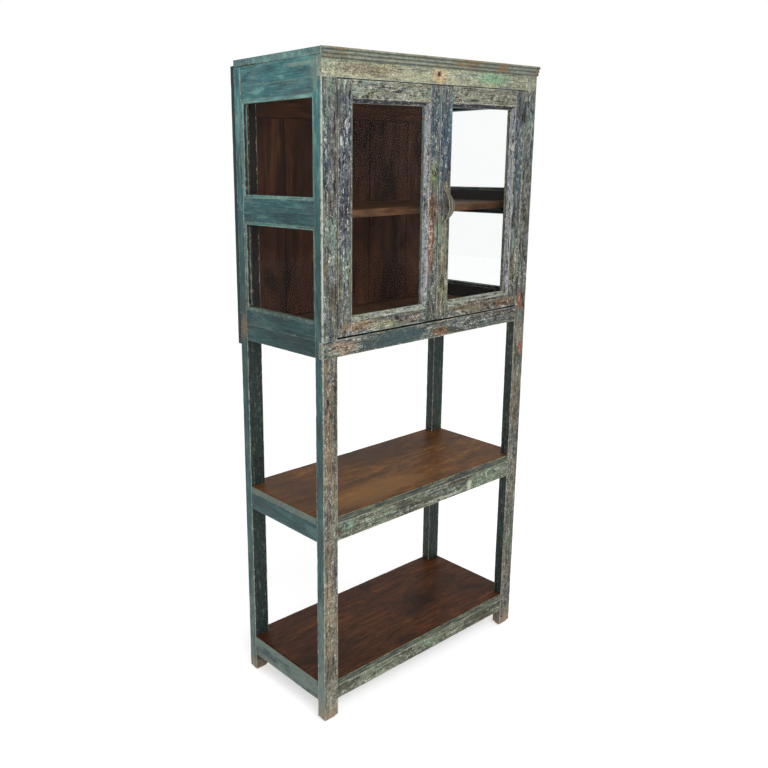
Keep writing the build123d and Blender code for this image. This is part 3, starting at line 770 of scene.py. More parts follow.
@dataclass(frozen=True)
class BrownInterior:
    """Dark red-brown stained boards behind the cupboard and under its shelves."""

    body: Colour = paint(82, 50, 36)
    deep: Colour = paint(38, 22, 16)
    warm: Colour = paint(118, 72, 46)
    back: Colour = paint(110, 92, 72)
    back_dark: Colour = paint(66, 54, 44)
    edge: Colour = paint(46, 66, 68)
    seam: Colour = paint(18, 13, 11)

    def material(self, grain: Grain) -> bpy.types.Material:
        """The finish for timber with that grain.

        Args:
            grain: The axis that the grain runs along.

        Returns:
            The material.
        """
        s = WoodShader("brown_interior", grain)
        figure = s.fibres(0.10, 0.030, 6, 0.65, 1.2)
        fibre = s.fibres(0.03, 0.0024, 4, 0.7)
        cloud = s.fibres(0.4, 0.13, 5, 0.65, 0.5)
        bare = s.coats(
            self.back,
            (self.back_dark, figure.rise(0.44, 0.66) * 0.55),
            (self.back_dark, fibre.rise(0.50, 0.68) * 0.5),
            (self.deep, cloud.rise(0.46, 0.36) * 0.5),
        )
        colour = s.coats(
            self.body,
            (self.deep, figure.rise(0.44, 0.68) * 0.5),
            (self.deep, cloud.rise(0.50, 0.38) * 0.75),
            (self.warm, cloud.rise(0.5, 0.68) * figure.rise(0.55, 0.4) * 0.8),
            (self.deep, fibre.rise(0.53, 0.7) * 0.5),
            (bare, s.facing[1].rise(0.4, 0.7)),
            (self.edge, s.facing[0].rise(-0.4, -0.7).most(s.facing[0].rise(0.4, 0.7)) * 0.9),
            (self.seam, s.arris.rise(0.0022, 0.0006) * s.arris.rise(0.00001, 0.0001) * 0.85),
        )
        return s.surface(
            Base_Color=colour,
            Roughness=0.55 + (fibre - 0.5) * 0.3,
            Specular_IOR_Level=0.1,
            Normal=s.bump(fibre * 0.6 + figure * 0.4, 0.0005, 0.6),
        )


@dataclass(frozen=True)
class OldGlass:
    """Thin clear window glass, a little uneven and faintly green."""

    tint: Colour = (0.985, 0.992, 0.988)

    def material(self) -> bpy.types.Material:
        """The finish of the panes.

        Returns:
            The material.
        """
        s = Shader("old_glass")
        normal = s.bump(s.noise(s.place, 0.22, 1, 0.4), 0.002, 0.3)
        clear = s.node("BsdfTransparent", values={"Color": self.tint})
        gloss = s.node("BsdfGlossy", values={"Color": (1.0, 1.0, 1.0), "Roughness": 0.03, "Normal": normal})
        slope = s.node("LayerWeight", values={"Blend": 0.5}, output="Facing")
        share = slope * slope * slope * slope * 0.12 + 0.002
        return s.end(s.node("MixShader", values={0: share, 1: clear, 2: gloss}))


@dataclass(frozen=True)
class OldIron:
    """Forged iron under old paint and rust."""

    slot: Slot
    skin: Colour
    rust: Colour
    bright: Colour
    rusted: float
    worn: float
    rim: bool = False

    def material(self) -> bpy.types.Material:
        """The finish of one kind of ironwork.

        Returns:
            The material.
        """
        s = Shader(self.slot.value)
        cloud = s.noise(s.place, 0.014, 4, 0.65)
        grain = s.noise(s.moved(s.place, (3.0, 1.0, 2.0)), 0.0022, 4, 0.7)
        rusted = cloud.stirred(grain, 0.5).rise(0.62 - self.rusted * 0.3, 0.72 - self.rusted * 0.3)
        colour = s.over(self.skin, self.rust, rusted)
        worn = grain.stirred(cloud, 0.4).rise(0.66 - self.worn * 0.2, 0.72 - self.worn * 0.2)
        # On the handle strap, lighter along the rim's arris: partly worn bright iron and partly a painted
        # highlight.
        if self.rim:
            worn = worn.most(s.attribute("arris").rise(0.0013, 0.0003) * grain.rise(0.30, 0.50))
        colour = s.over(colour, self.bright, worn * 0.8)
        return s.surface(
            Base_Color=colour,
            Metallic=(1 - rusted) * 0.35,
            Roughness=0.5 + rusted * 0.3 + (grain - 0.5) * 0.3,
            Normal=s.bump(cloud * 0.5 + grain * 0.5, 0.0006, 0.8),
        )


WoodFinish = Union[LayeredPaint, OiledBoard, BrownInterior]


class Finishes:
    """Makes each finish once and hands it out."""

    def __init__(self) -> None:
        """Sets out the finishes."""
        self.made: dict[tuple[str, str], bpy.types.Material] = {}
        self.timber = {
            Slot.LAYERED: LayeredPaint(),
            Slot.TEAL: LayeredPaint(edge_wear=0.3),
            Slot.BOARD: OiledBoard(),
            Slot.INTERIOR: BrownInterior(),
        }
        kinds = (
            OldIron(
                Slot.WORN_IRON, paint(74, 74, 62), paint(88, 62, 46), paint(168, 164, 142), 0.35, 0.3, True
            ),
            OldIron(Slot.RUSTY_IRON, paint(76, 68, 58), paint(98, 62, 44), paint(176, 160, 132), 0.6, 0.55),
            OldIron(Slot.DARK_IRON, paint(74, 80, 82), paint(74, 56, 44), paint(150, 150, 138), 0.35, 0.5),
        )
        self.iron = {kind.slot: kind for kind in kinds}

    def timber_finish(self, slot: Slot, grain: Grain, finish: WoodFinish | None = None) -> bpy.types.Material:
        """The material of a timber.

        Args:
            slot: Its material slot.
            grain: The axis that its grain runs along.
            finish: Its finish, where it isn't the slot's usual one.

        Returns:
            The material.
        """
        finish = finish or self.timber[slot]
        key = (repr(finish), grain.name)
        if key not in self.made:
            self.made[key] = finish.material(grain)
        return self.made[key]

    def plain_finish(self, slot: Slot) -> bpy.types.Material:
        """The material of glass or iron.

        Args:
            slot: Its material slot.

        Returns:
            The material.
        """
        key = (slot.value, "")
        if key not in self.made:
            self.made[key] = OldGlass().material() if slot is Slot.GLASS else self.iron[slot].material()
        return self.made[key]


# ---------------------------------------------------------------- shapes read from the frame
class CadShape:
    """Points and edges of one solid of the frame, with equal points merged."""

    def __init__(self, points: np.ndarray, edges: np.ndarray) -> None:
        """Keeps the points and edges.

        Args:
            points: Coordinates, one row a point.
            edges: Pairs of point numbers.
        """
        self.points = points
        self.edges = edges

    @classmethod
    def of_node(cls, node: str) -> list["CadShape"]:
        """Every separate solid of a node, in the order of its faces.

        Args:
            node: The node's name.

        Returns:
            Its solids.
        """
        mesh = frame["nodes"][node].data
        raw = np.empty(len(mesh.vertices) * 3)
        mesh.vertices.foreach_get("co", raw)
        points, place = np.unique(np.round(raw.reshape(-1, 3), 5), axis=0, return_inverse=True)
        place = place.reshape(-1)
        solids: list[CadShape] = []
        gathered: set[tuple[int, int]] = set()
        unmatched: set[tuple[int, int]] = set()
        for face in mesh.polygons:
            corners = [int(place[v]) for v in face.vertices]
            for pair in zip(corners, corners[1:] + corners[:1]):
                edge = (min(pair), max(pair))
                if edge[0] != edge[1]:
                    unmatched ^= {edge}
                    gathered.add(edge)
            if gathered and not unmatched:
                edges = np.array(sorted(gathered))
                kept, numbers = np.unique(edges, return_inverse=True)
                solids.append(cls(points[kept], numbers.reshape(-1, 2)))
                gathered = set()
        if unmatched:
            raise ValueError(f"{node} has a solid that isn't closed")
        return solids

    def low(self) -> np.ndarray:
        """Lowest corner of the solid's box."""
        return self.points.min(axis=0)

    def high(self) -> np.ndarray:
        """Highest corner of the solid's box."""
        return self.points.max(axis=0)

    def section(self, grain: Grain, level: float) -> tuple[float, float, float, float]:
        """Box of the cross-section at one place along the grain.

        Args:
            grain: The axis that the grain runs along.
            level: The place along it.

        Returns:
            Low and high across the first axis, then across the second.
        """
        start, end = self.points[self.edges[:, 0]], self.points[self.edges[:, 1]]
        k = grain.along
        crossing = (start[:, k] - level) * (end[:, k] - level) < 0
        start, end = start[crossing], end[crossing]
        share = ((level - start[:, k]) / (end[:, k] - start[:, k]))[:, None]
        cut = start + (end - start) * share
        u, v = (cut[:, axis] for axis in grain.across)
        return u.min(), u.max(), v.min(), v.max()

    def stretches(self, grain: Grain) -> list[tuple[float, float, tuple, tuple]]:
        """Stretches of steady cross-section along the grain.

        Args:
            grain: The axis that the grain runs along.

        Returns:
            Start, end, and the section's box at each of them.
        """
        levels = np.unique(self.points[:, grain.along])
        tiny = 0.02 * MM
        found: list[tuple[float, float, tuple, tuple]] = []
        for a, b in zip(levels[:-1], levels[1:]):
            if b - a < 4 * tiny:
                continue
            first, last = self.section(grain, a + tiny), self.section(grain, b - tiny)
            steady = (found[-1][2], found[-1][3], first, last) if found else ()
            if found and all(np.allclose(*pair, atol=2 * tiny) for pair in zip(steady, steady[1:])):
                found[-1] = (found[-1][0], b, found[-1][2], last)
            else:
                found.append((a, b, first, last))
        return found


# ---------------------------------------------------------------- worn timber
@dataclass
class Wear:
    """How old edges have gone: rounding of the arris, its unevenness, and chips."""

    arris: float = 0.9 * MM
    uneven: float = 0.7 * MM
    chips_per_metre: float = 5.0
    chip_depth: float = 2.2 * MM
    chip_length: float = 12.0 * MM
    sway: float = 0.25 * MM

    @classmethod
    def of(cls, arris: float, uneven: float, chips: float, *others: float) -> "Wear":
        """A dataclass field with this wear, in millimetres.

        Args:
            arris: Rounding of the arris.
            uneven: Its unevenness.
            chips: Chips a metre.
            *others: Depth and length of a chip, and the sway of the timber.

        Returns:
            The field.
        """
        sizes = [size * MM for size in others]
        return field(default_factory=lambda: cls(arris * MM, uneven * MM, chips, *sizes))


Section = tuple[np.ndarray, np.ndarray]


class Loft:
    """A closed mesh of rings that carries each point's facing and its distance from an arris."""

    BEND = 4
    REACH = 7.0 * MM
    MOST_ROUND = 0.42
    MERGE = 0.01 * MM
    END_INSET = 0.02
    END_ARRIS = 0.5 * MM

    def __init__(self, grain: Grain, seed: int) -> None:
        """Starts an empty loft.

        Args:
            grain: The axis that its rings are strung along.
            seed: Seed of its own wear.
        """
        self.grain = grain
        self.random = np.random.default_rng(seed)
        self.piece = self.random.random()
        self.rings: list[np.ndarray] = []
        self.places: list[np.ndarray] = []
        self.facings: list[np.ndarray] = []
        self.arrises: list[np.ndarray] = []
        self.solids: list[tuple[int, int]] = []

    def ring(self, corners: np.ndarray, radii: np.ndarray) -> tuple[np.ndarray, np.ndarray, np.ndarray]:
        """Rounds a polygon's corners.

        Args:
            corners: The polygon's corners, counter-clockwise.
            radii: Rounding of each corner.

        Returns:
            Points, outward normals, and distances from the nearest arris.
        """
        ahead = np.roll(corners, -1, axis=0) - corners
        length = np.linalg.norm(ahead, axis=1)
        step = ahead / np.maximum(length, 1e-9)[:, None]
        behind, length_behind = np.roll(step, 1, axis=0), np.roll(length, 1)
        r = np.minimum(radii, self.MOST_ROUND * np.minimum(length, length_behind))
        start, end = corners - behind * r[:, None], corners + step * r[:, None]
        outward = np.stack([step[:, 1], -step[:, 0]], axis=1)
        outward_behind = np.roll(outward, 1, axis=0)
        points, normals, arris = [], [], []
        t = np.linspace(0, 1, self.BEND)[:, None]
        inner = length - r - np.roll(r, -1)
        near = np.minimum(self.REACH, inner / 3)
        for i in range(len(corners)):
            points.append((1 - t) ** 2 * start[i] + 2 * t * (1 - t) * corners[i] + t**2 * end[i])
            normals.append((1 - t) * outward_behind[i] + t * outward[i])
            arris.append(np.abs(t[:, 0] - 0.5) * r[i])
            along = np.array([near[i], inner[i] / 2, inner[i] - near[i]])
            points.append(end[i] + along[:, None] * step[i])
            normals.append(np.repeat(outward[i][None], 3, axis=0))
            arris.append(np.array([near[i], inner[i] / 2, near[i]]) + r[i] / 2)
        return np.concatenate(points), np.concatenate(normals), np.concatenate(arris)

    def string(
        self,
        stations: Sequence[float],
        sections: Sequence[Section],
        skew: Callable[[np.ndarray, int], np.ndarray] | None = None,
    ) -> None:
        """Adds one closed solid.

        Args:
            stations: Places along the grain, rising.
            sections: The corners and their roundings at each place.
            skew: Gives how far each point of a ring moves along the grain, for mitred ends.
        """
        first = len(self.rings)
        for number, (level, section) in enumerate(zip(stations, sections)):
            points, normals, arris = self.ring(*section)
            placed, facing = np.zeros((2, len(points), 3))
            placed[:, self.grain.along] = level + (skew(points, number) if skew else 0.0)
            placed[:, self.grain.across] = points
            facing[:, self.grain.across] = normals
            self.rings.append(placed)
            self.facings.append(facing)
            self.arrises.append(arris)
            ends = min(level - stations[0], stations[-1] - level)
            self.places.append(np.full(len(points), ends))
        self.close_end(first, 0, -1.0)
        self.close_end(len(self.rings) - 1, len(self.rings), 1.0)
        self.solids.append((first, len(self.rings)))

    def close_end(self, edge: int, at: int, way: float) -> None:
        """Adds the ring inside an end face, so that the face knows where it looks.

        Args:
            edge: The ring at the end.
            at: Where the new ring goes in the list; 0 puts it before the edge ring.
            way: Which way along the grain the end looks.
        """
        ring = self.rings[edge]
        facing = np.zeros_like(ring)
        facing[:, self.grain.along] = way
        at = edge if at == 0 else at
        self.rings.insert(at, ring + (ring.mean(axis=0) - ring) * self.END_INSET)
        self.facings.insert(at, facing)
        self.arrises.insert(at, np.full(len(ring), self.END_ARRIS))
        self.places.insert(at, np.zeros(len(ring)))

    def object(self, name: str, material: bpy.types.Material) -> bpy.types.Object:
        """Turns the rings into one object.

        Args:
            name: The object's name.
            material: Its finish.

        Returns:
            The object, at the frame's origin.
        """
        count = len(self.rings[0])
        faces: list[list[int]] = []
        for first, last in self.solids:
            for k in range(first, last - 1):
                low, high = k * count, (k + 1) * count
                for i in range(count):
                    j = (i + 1) % count
                    faces.append([low + i, low + j, high + j, high + i])
            faces.append([first * count + i for i in reversed(range(count))])
            faces.append([(last - 1) * count + i for i in range(count)])
        points = np.concatenate(self.rings)
        mesh = bpy.data.meshes.new(name)
        mesh.from_pydata(points.tolist(), [], faces)
        for field_name, rows in (("facing", self.facings), ("arris", self.arrises), ("ends", self.places)):
            write_field(mesh, field_name, np.concatenate(rows))
        write_field(mesh, "piece", np.full(len(points), self.piece))
        merged = bmesh.new()
        merged.from_mesh(mesh)
        bmesh.ops.remove_doubles(merged, verts=merged.verts, dist=self.MERGE)
        merged.to_mesh(mesh)
        merged.free()
        return finished_object(name, mesh, material)


def write_field(mesh: bpy.types.Mesh, name: str, values: np.ndarray) -> None:
    """Stores one value or vector per point on a mesh.

    Args:
        mesh: The mesh.
        name: The field's name.
        values: One row a point.
    """
    kind, key = ("FLOAT", "value") if values.ndim == 1 else ("FLOAT_VECTOR", "vector")
    mesh.attributes.new(name, kind, "POINT").data.foreach_set(key, values.astype(np.float32).reshape(-1))


def finished_object(name: str, mesh: bpy.types.Mesh, material: bpy.types.Material) -> bpy.types.Object:
    """Links a mesh into the scene, smooth but for its sharp edges.

    Args:
        name: The object's name.
        mesh: Its mesh.
        material: Its finish.

    Returns:
        The object.
    """
    mesh.validate()
    mesh.shade_smooth()
    mesh.set_sharp_from_angle(angle=SHARP_ANGLE)
    mesh.materials.append(material)
    made = bpy.data.objects.new(name, mesh)
    bpy.context.scene.collection.objects.link(made)
    return made


class ArrisWear:
    """Rounding of each corner of one timber, from one end to the other."""

    RATES = np.array([38.0, 91.0, 173.0, 331.0])
    SHARES = np.array([0.3, 0.3, 0.25, 0.15])

    def __init__(
        self, wear: Wear, corners: int, span: tuple[float, float], random: np.random.Generator
    ) -> None:
        """Draws the wear.

        Args:
            wear: How worn the edges are.
            corners: Number of corners of the section.
            span: Both ends of the timber along the grain.
            random: The timber's own random numbers.
        """
        self.wear = wear
        low, high = span
        self.phase = random.random((corners, 4)) * math.tau
        length = high - low
        amount = int(round(wear.chips_per_metre * length)) + 1
        self.chips = [
            (
                low + random.random(amount) * length,
                wear.chip_length * (0.4 + random.random(amount)),
                wear.chip_depth * random.random(amount) ** 2,
            )
            for _ in range(corners)
        ]

    def radii(self, level: float) -> np.ndarray:
        """Rounding of every corner.

        Args:
            level: The place along the grain.

        Returns:
            One radius a corner.
        """
        waves = np.sin(level * self.RATES + self.phase) @ self.SHARES
        found = self.wear.arris + self.wear.uneven * np.maximum(waves, -0.6)
        for k, (centre, length, depth) in enumerate(self.chips):
            gap = np.clip(1 - ((level - centre) / length) ** 2, 0, 1)
            found[k] += (depth * gap).max()
        return found


@dataclass
class Timber:
    """One plain timber of the frame, rebuilt with worn edges along its grain."""

    QUARTER_ROUND = ((0.0, 1.0), (0.134, 0.5), (0.5, 0.134), (1.0, 0.0))
    BEVEL = ((0.0, 1.0), (1.0, 0.0))
    SWAY_RATES = np.array([5.3, 7.1])
    CALM_END = 40 * MM

    node: str
    grain: Grain
    slot: Slot
    seed: int
    wear: Wear = field(default_factory=Wear)
    finish: WoodFinish | None = None
    pitch: float = 9.0 * MM
    end_bevel: float = 0.7 * MM
    foot_round: float = 0.7 * MM

    def build(self, finishes: Finishes) -> bpy.types.Object:
        """Builds the timber and puts it in place of its node.

        Args:
            finishes: The finishes.

        Returns:
            The object.
        """
        loft = Loft(self.grain, self.seed)
        for solid in CadShape.of_node(self.node):
            self.add_solid(loft, solid)
        material = finishes.timber_finish(self.slot, self.grain, self.finish)
        return stand_for(loft.object(f"{self.node}_timber", material), self.node)

    def add_solid(self, loft: Loft, solid: CadShape) -> None:
        """Adds one solid's rings.

        Args:
            loft: The loft.
            solid: The solid that it follows.
        """
        stretches = solid.stretches(self.grain)
        low, high = stretches[0][0], stretches[-1][1]
        worn = ArrisWear(self.wear, 4, (low, high), loft.random)
        sway_phase = loft.random.random(2) * math.tau
        stations: list[float] = []
        boxes: list[np.ndarray] = []
        for a, b, first, last in stretches:
            steps = max(2, int((b - a) / self.pitch) + 1)
            for share in np.linspace(0, 1, steps):
                stations.append(a + (b - a) * share)
                boxes.append(np.array(first) * (1 - share) + np.array(last) * share)
        inward = np.array([1.0, -1.0, 1.0, -1.0])
        wide_foot = self.foot_round > MM
        bends = self.QUARTER_ROUND if wide_foot else self.BEVEL
        above = low + self.foot_round + MM
        clear = [k for k in range(1, len(stations) - 1) if not wide_foot or stations[k] > above]
        feet = [boxes[0] + inward * self.foot_round * share for _, share in bends]
        stations = (
            [low + self.foot_round * rise for rise, _ in bends]
            + [stations[k] for k in clear]
            + [high - self.end_bevel, high]
        )
        boxes = feet + [boxes[k] for k in clear] + [boxes[-1], boxes[-1] + inward * self.end_bevel]

        sections: list[Section] = []
        for level, (u0, u1, v0, v1) in zip(stations, boxes):
            calm = min(1.0, min(level - low, high - level) / self.CALM_END)
            sway = self.wear.sway * calm * np.sin(level * self.SWAY_RATES + sway_phase)
            corners = np.array([(u0, v0), (u1, v0), (u1, v1), (u0, v1)]) + sway
            sections.append((corners, worn.radii(level)))
        loft.string(stations, sections)


def stand_for(made: bpy.types.Object, node: str) -> bpy.types.Object:
    """Puts an object in place of a node of the frame.

    Args:
        made: The object.
        node: The node that it stands for.

    Returns:
        The object.
    """
    body = next(name for name, nodes in frame["record"]["behaviour"]["bodies"].items() if node in nodes)
    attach(made, body)
    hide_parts(node)
    LOG.info("%s stands for %s on %s: %d faces", made.name, node, body, len(made.data.polygons))
    return made


@dataclass
class DoorMember:
    """A stile or rail of a door: a flat with a bevelled lip on the side of the glass."""

    CORNER_STEPS = (0.08, 0.2, 0.4, 0.65, 1.0)
    ROUNDINGS = np.array([1.0, 0.6, 0.8, 0.3, 0.0, 0.4, 0.8])
    END_RING = 0.7 * MM
    END_BEVEL = 0.6 * MM
    CLEAR = 1.5 * MM

    node: str
    grain: Grain
    outer: float
    flat: float
    front: float
    opening: tuple[float, float]
    span: tuple[float, float]
    seed: int
    thickness: float = 24 * MM
    bevel: float = 11 * MM
    lip: float = 15 * MM
    corner: float = 0.0
    wear: Wear = field(default_factory=lambda: Wear(chips_per_metre=7.0))
    pitch: float = 8.0 * MM

    def stations(self) -> list[float]:
        """Places along the member, closer together at the mitres and the rounded corner.

        Returns:
            The places, rising.
        """
        low, high = self.span
        a, b = self.opening
        marks = {low, low + self.END_RING, high - self.END_RING, high}
        if self.corner:
            marks |= {low + self.corner * share for share in self.CORNER_STEPS}
        marks |= {m for m in (a, a + self.bevel, b - self.bevel, b) if low <= m <= high}
        inner = np.arange(low + self.pitch, high - self.pitch / 2, self.pitch)
        marks |= {float(m) for m in inner if min(abs(m - k) for k in marks) > self.CLEAR}
        return sorted(marks)

    def build(self, finishes: Finishes) -> bpy.types.Object:
        """Builds the member and puts it in place of its node.

        Args:
            finishes: The finishes.

        Returns:
            The object.
        """
        loft = Loft(self.grain, self.seed)
        stations = self.stations()
        worn = ArrisWear(self.wear, 7, self.span, loft.random)
        toward = 1.0 if self.flat > self.outer else -1.0
        back = self.front + self.thickness
        a, b = self.opening
        low, high = self.span

        sections: list[Section] = []
        for number, level in enumerate(stations):
            reach = float(np.clip(min(level - a, b - level), 0.0, self.bevel))
            outer = self.outer
            if self.corner and level - low < self.corner:
                rise = self.corner - (level - low)
                outer += toward * (self.corner - math.sqrt(self.corner**2 - rise**2))
            tip = self.flat + toward * reach
            front, flat = self.front, self.flat
            end = self.END_BEVEL if number in (0, len(stations) - 1) else 0.0
            outer += toward * end
            shape = [
                (outer, front + end), (flat, front + end), (tip, front + max(reach, end)),
                (tip, front + self.lip), (flat, front + self.lip), (flat, back - end), (outer, back - end),
            ]
            radii = worn.radii(level) * self.ROUNDINGS
            corners = np.array(shape if self.grain is Grain.Z else [(y, x) for x, y in shape])
            if (toward > 0) != (self.grain is Grain.Z):
                corners, radii = corners[::-1], radii[::-1]
            sections.append((corners, radii))
        loft.string(stations, sections)
        material = finishes.timber_finish(Slot.LAYERED, self.grain)
        return stand_for(loft.object(f"{self.node}_timber", material), self.node)


@dataclass
class GlazingBeads:
    """Mitred strips around a pane, with the corner towards the glass rounded over."""

    node: str
    slot: Slot
    seed: int
    finish: WoodFinish | None = None
    wear: Wear = Wear.of(0.8, 0.4, 3.0, 1.0, 8.0, 0.0)
    round_over: float = 3.2 * MM
    pitch: float = 14.0 * MM

    def build(self, finishes: Finishes) -> bpy.types.Object:
        """Builds every strip of the node as one object.

        Args:
            finishes: The finishes.

        Returns:
            The object.
        """
        solids = CadShape.of_node(self.node)
        lofts = {grain: Loft(grain, self.seed + grain.along) for grain in Grain}
        for solid in solids:
            size = solid.high() - solid.low()
            grain = next(g for g in Grain if g.along == int(np.argmax(size)))
            self.add_strip(lofts[grain], solid, grain)
        parts: list[bpy.types.Object] = []
        for grain, loft in lofts.items():
            if loft.rings:
                material = finishes.timber_finish(self.slot, grain, self.finish)
                parts.append(loft.object(f"{self.node}_{grain.name.lower()}", material))
        for part in parts[1:]:
            stand_for(part, self.node)
        return stand_for(parts[0], self.node)

    def add_strip(self, loft: Loft, solid: CadShape, grain: Grain) -> None:
        """Adds one mitred strip.

        Args:
            loft: The loft.
            solid: The solid that it follows.
            grain: The axis that the strip runs along.
        """
        k, (p, q) = grain.along, grain.across
        low, high = solid.low(), solid.high()
        at_end = solid.points[solid.points[:, k] < low[k] + 0.1 * MM]
        slant = p if np.ptp(at_end[:, p]) < 0.1 * MM else q
        outer = at_end[0, slant]
        width = high[slant] - low[slant]
        worn = ArrisWear(self.wear, 4, (low[k], high[k]), loft.random)
        inner_steps = np.arange(low[k] + width + MM, high[k] - width - MM, self.pitch)
        stations = [low[k]] + inner_steps.tolist() + [high[k]]
        u0, u1, v0, v1 = low[p], high[p], low[q], high[q]
        corners = np.array([(u0, v0), (u1, v0), (u1, v1), (u0, v1)])
        column = 0 if slant == p else 1
        rounded = np.abs(corners[:, column] - outer) > width / 2

        sections: list[Section] = []
        for level in stations:
            radii = worn.radii(level) * 0.5
            radii[rounded] = self.round_over
            sections.append((corners, radii))

        def skew(points: np.ndarray, number: int) -> np.ndarray:
            """Slant of the mitre at both ends.

            Args:
                points: The ring's points.
                number: Its number.

            Returns:
                How far each point moves along the grain.
            """
            inward = np.abs(points[:, column] - outer)
            if number == 0:
                return inward
            return -inward if number == len(stations) - 1 else np.zeros(len(points))

        loft.string(stations, sections, skew)


# ---------------------------------------------------------------- sub-assemblies
@dataclass
class CadPart:
    """A part that keeps the frame's own shape and gets its finish."""

    node: str

    def dress(self, material: bpy.types.Material) -> None:
        """Gives the part its finish.

        Args:
            material: The finish.
        """
        shape = frame["nodes"][self.node]
        if not shape.material_slots:
            shape.data.materials.append(material)
        for place in shape.material_slots:
            place.material = material
        LOG.info("%s keeps its shape in %s", self.node, material.name)


@dataclass
class Posts:
    """The four posts, from the floor to the top board."""

    front_wear: Wear = Wear.of(0.9, 0.8, 9.0, 2.6, 16.0, 0.3)
    back_wear: Wear = Wear.of(0.9, 0.6, 5.0, 2.0, 14.0, 0.3)
    foot_round: float = 10.0 * MM
    seed: int = 100

    def build(self, finishes: Finishes) -> None:
        """Builds all four.

        Args:
            finishes: The finishes.
        """
        seed = self.seed
        for face, wear in (("front", self.front_wear), ("back", self.back_wear)):
            for side in ("left", "right"):
                Timber(
                    f"{face}_{side}_post", Grain.Z, Slot.LAYERED, seed, wear, foot_round=self.foot_round
                ).build(finishes)
                seed += 1


@dataclass
class ShelfTier:
    """An open shelf: a board lying on four rails."""

    level: str
    board: OiledBoard
    seed: int
    board_wear: Wear = Wear.of(1.4, 1.0, 7.0, 2.6, 14.0, 0.3)
    rail_wear: Wear = Wear.of(0.8, 0.6, 6.0, 1.8, 14.0, 0.25)

    def build(self, finishes: Finishes) -> None:
        """Builds the board and its rails.

        Args:
            finishes: The finishes.
        """
        name = f"{self.level}_shelf_board"
        Timber(name, Grain.X, Slot.BOARD, self.seed, self.board_wear, self.board).build(finishes)
        for number, side in enumerate(("front", "back", "left", "right"), 1):
            grain, slot = (Grain.X, Slot.LAYERED) if number < 3 else (Grain.Y, Slot.TEAL)
            rail = f"{self.level}_{side}_rail"
            Timber(rail, grain, slot, self.seed + number, self.rail_wear).build(finishes)


@dataclass
class CupboardCase:
    """The case of the cupboard: sides, frieze, back, floor, shelf and top."""

    seed: int = 300
    wear: Wear = Wear.of(0.7, 0.5, 5.0, 1.6, 14.0, 0.2)
    top_wear: Wear = Wear.of(1.2, 0.9, 8.0, 2.6, 16.0, 0.3)
    shelf: OiledBoard = OiledBoard(
        "inner_board", paint(52, 34, 22), paint(96, 66, 44), paint(128, 92, 62), painted=False
    )

    def build(self, finishes: Finishes) -> None:
        """Builds the case.

        Args:
            finishes: The finishes.
        """
        seed = self.seed
        for side in ("left", "right"):
            for part in ("apron", "bottom_rail", "mid_rail", "top_rail", "frieze_rail"):
                seed += 1
                Timber(f"{side}_{part}", Grain.Y, Slot.TEAL, seed, self.wear).build(finishes)
        for node, grain, slot, wear, finish in (
            ("frieze_board", Grain.X, Slot.LAYERED, self.wear, None),
            ("front_bottom_rail", Grain.X, Slot.LAYERED, self.wear, None),
            ("back_top_rail", Grain.X, Slot.INTERIOR, self.wear, None),
            ("back_bottom_rail", Grain.X, Slot.INTERIOR, self.wear, None),
            ("back_boards", Grain.Z, Slot.INTERIOR, self.wear, None),
            ("shelf_cleats", Grain.Y, Slot.INTERIOR, self.wear, None),
            ("cabinet_floor", Grain.X, Slot.BOARD, self.wear, self.shelf),
            ("inner_shelf", Grain.X, Slot.BOARD, self.wear, self.shelf),
            ("top_board", Grain.X, Slot.TEAL, self.top_wear, None),
        ):
            seed += 1
            Timber(node, grain, slot, seed, wear, finish).build(finishes)
        CadPart("door_stops").dress(finishes.timber_finish(Slot.INTERIOR, Grain.X))


@dataclass
class Cornice:
    """The reeded moulding along the front edge of the top board."""

    RATES = np.array([23.0, 61.0, 117.0, 190.0, 310.0, 523.0])
    ROUND_ACROSS = 260.0

    node: str = "cornice_moulding"
    reeds: int = 3
    foot: float = 4.0 * MM
    points_a_reed: int = 6
    pitch: float = 7.0 * MM
    dent: float = 0.9 * MM
    end_reach: float = 9 * MM
    end_loss: float = 3.0 * MM
    seed: int = 401
    wear: Wear = Wear.of(0.3, 0.4, 0.0, 0.0, 10.0, 0.25)

    def build(self, finishes: Finishes) -> bpy.types.Object:
        """Builds the moulding and puts it in place of its node.

        Args:
            finishes: The finishes.

        Returns:
            The object.
        """
        low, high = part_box(self.node)
        loft = Loft(Grain.X, self.seed)
        rise, out = (high.z - low.z) / self.reeds, (high.y - low.y - self.foot) / self.reeds
        profile: list[tuple[float, float, float]] = [(high.y, low.z, 0.0)]
        for reed in range(self.reeds):
            base = high.y - self.foot - reed * out
            for bend in np.linspace(0.06, 0.94, self.points_a_reed):
                profile.append((base - out * math.sin(bend * math.pi), low.z + (reed + bend) * rise, 1.0))
        profile.append((high.y, high.z, 0.0))
        shape = np.array(profile)[::-1]
        worn = ArrisWear(self.wear, len(shape), (low.x, high.x), loft.random)
        phase = loft.random.random(6) * math.tau
        rates = self.RATES[:, None]
        inner = np.arange(low.x + self.pitch, high.x - self.pitch / 2, self.pitch).tolist()
        stations = [low.x, low.x + MM, *inner, high.x - MM, high.x]

        sections: list[Section] = []
        for level in stations:
            dents = np.sin(level * rates + phase[:, None] + shape[:, 1] * self.ROUND_ACROSS).mean(axis=0)
            ends = max(0.0, 1 - min(level - low.x, high.x - level) / self.end_reach) ** 2
            corners = shape[:, :2].copy()
            corners[:, 0] += shape[:, 2] * (self.dent * np.clip(dents + 0.25, 0, 1) + self.end_loss * ends)
            sections.append((corners, worn.radii(level) * 0.3))
        loft.string(stations, sections)
        material = finishes.timber_finish(Slot.LAYERED, Grain.X)
        return stand_for(loft.object(f"{self.node}_timber", material), self.node)


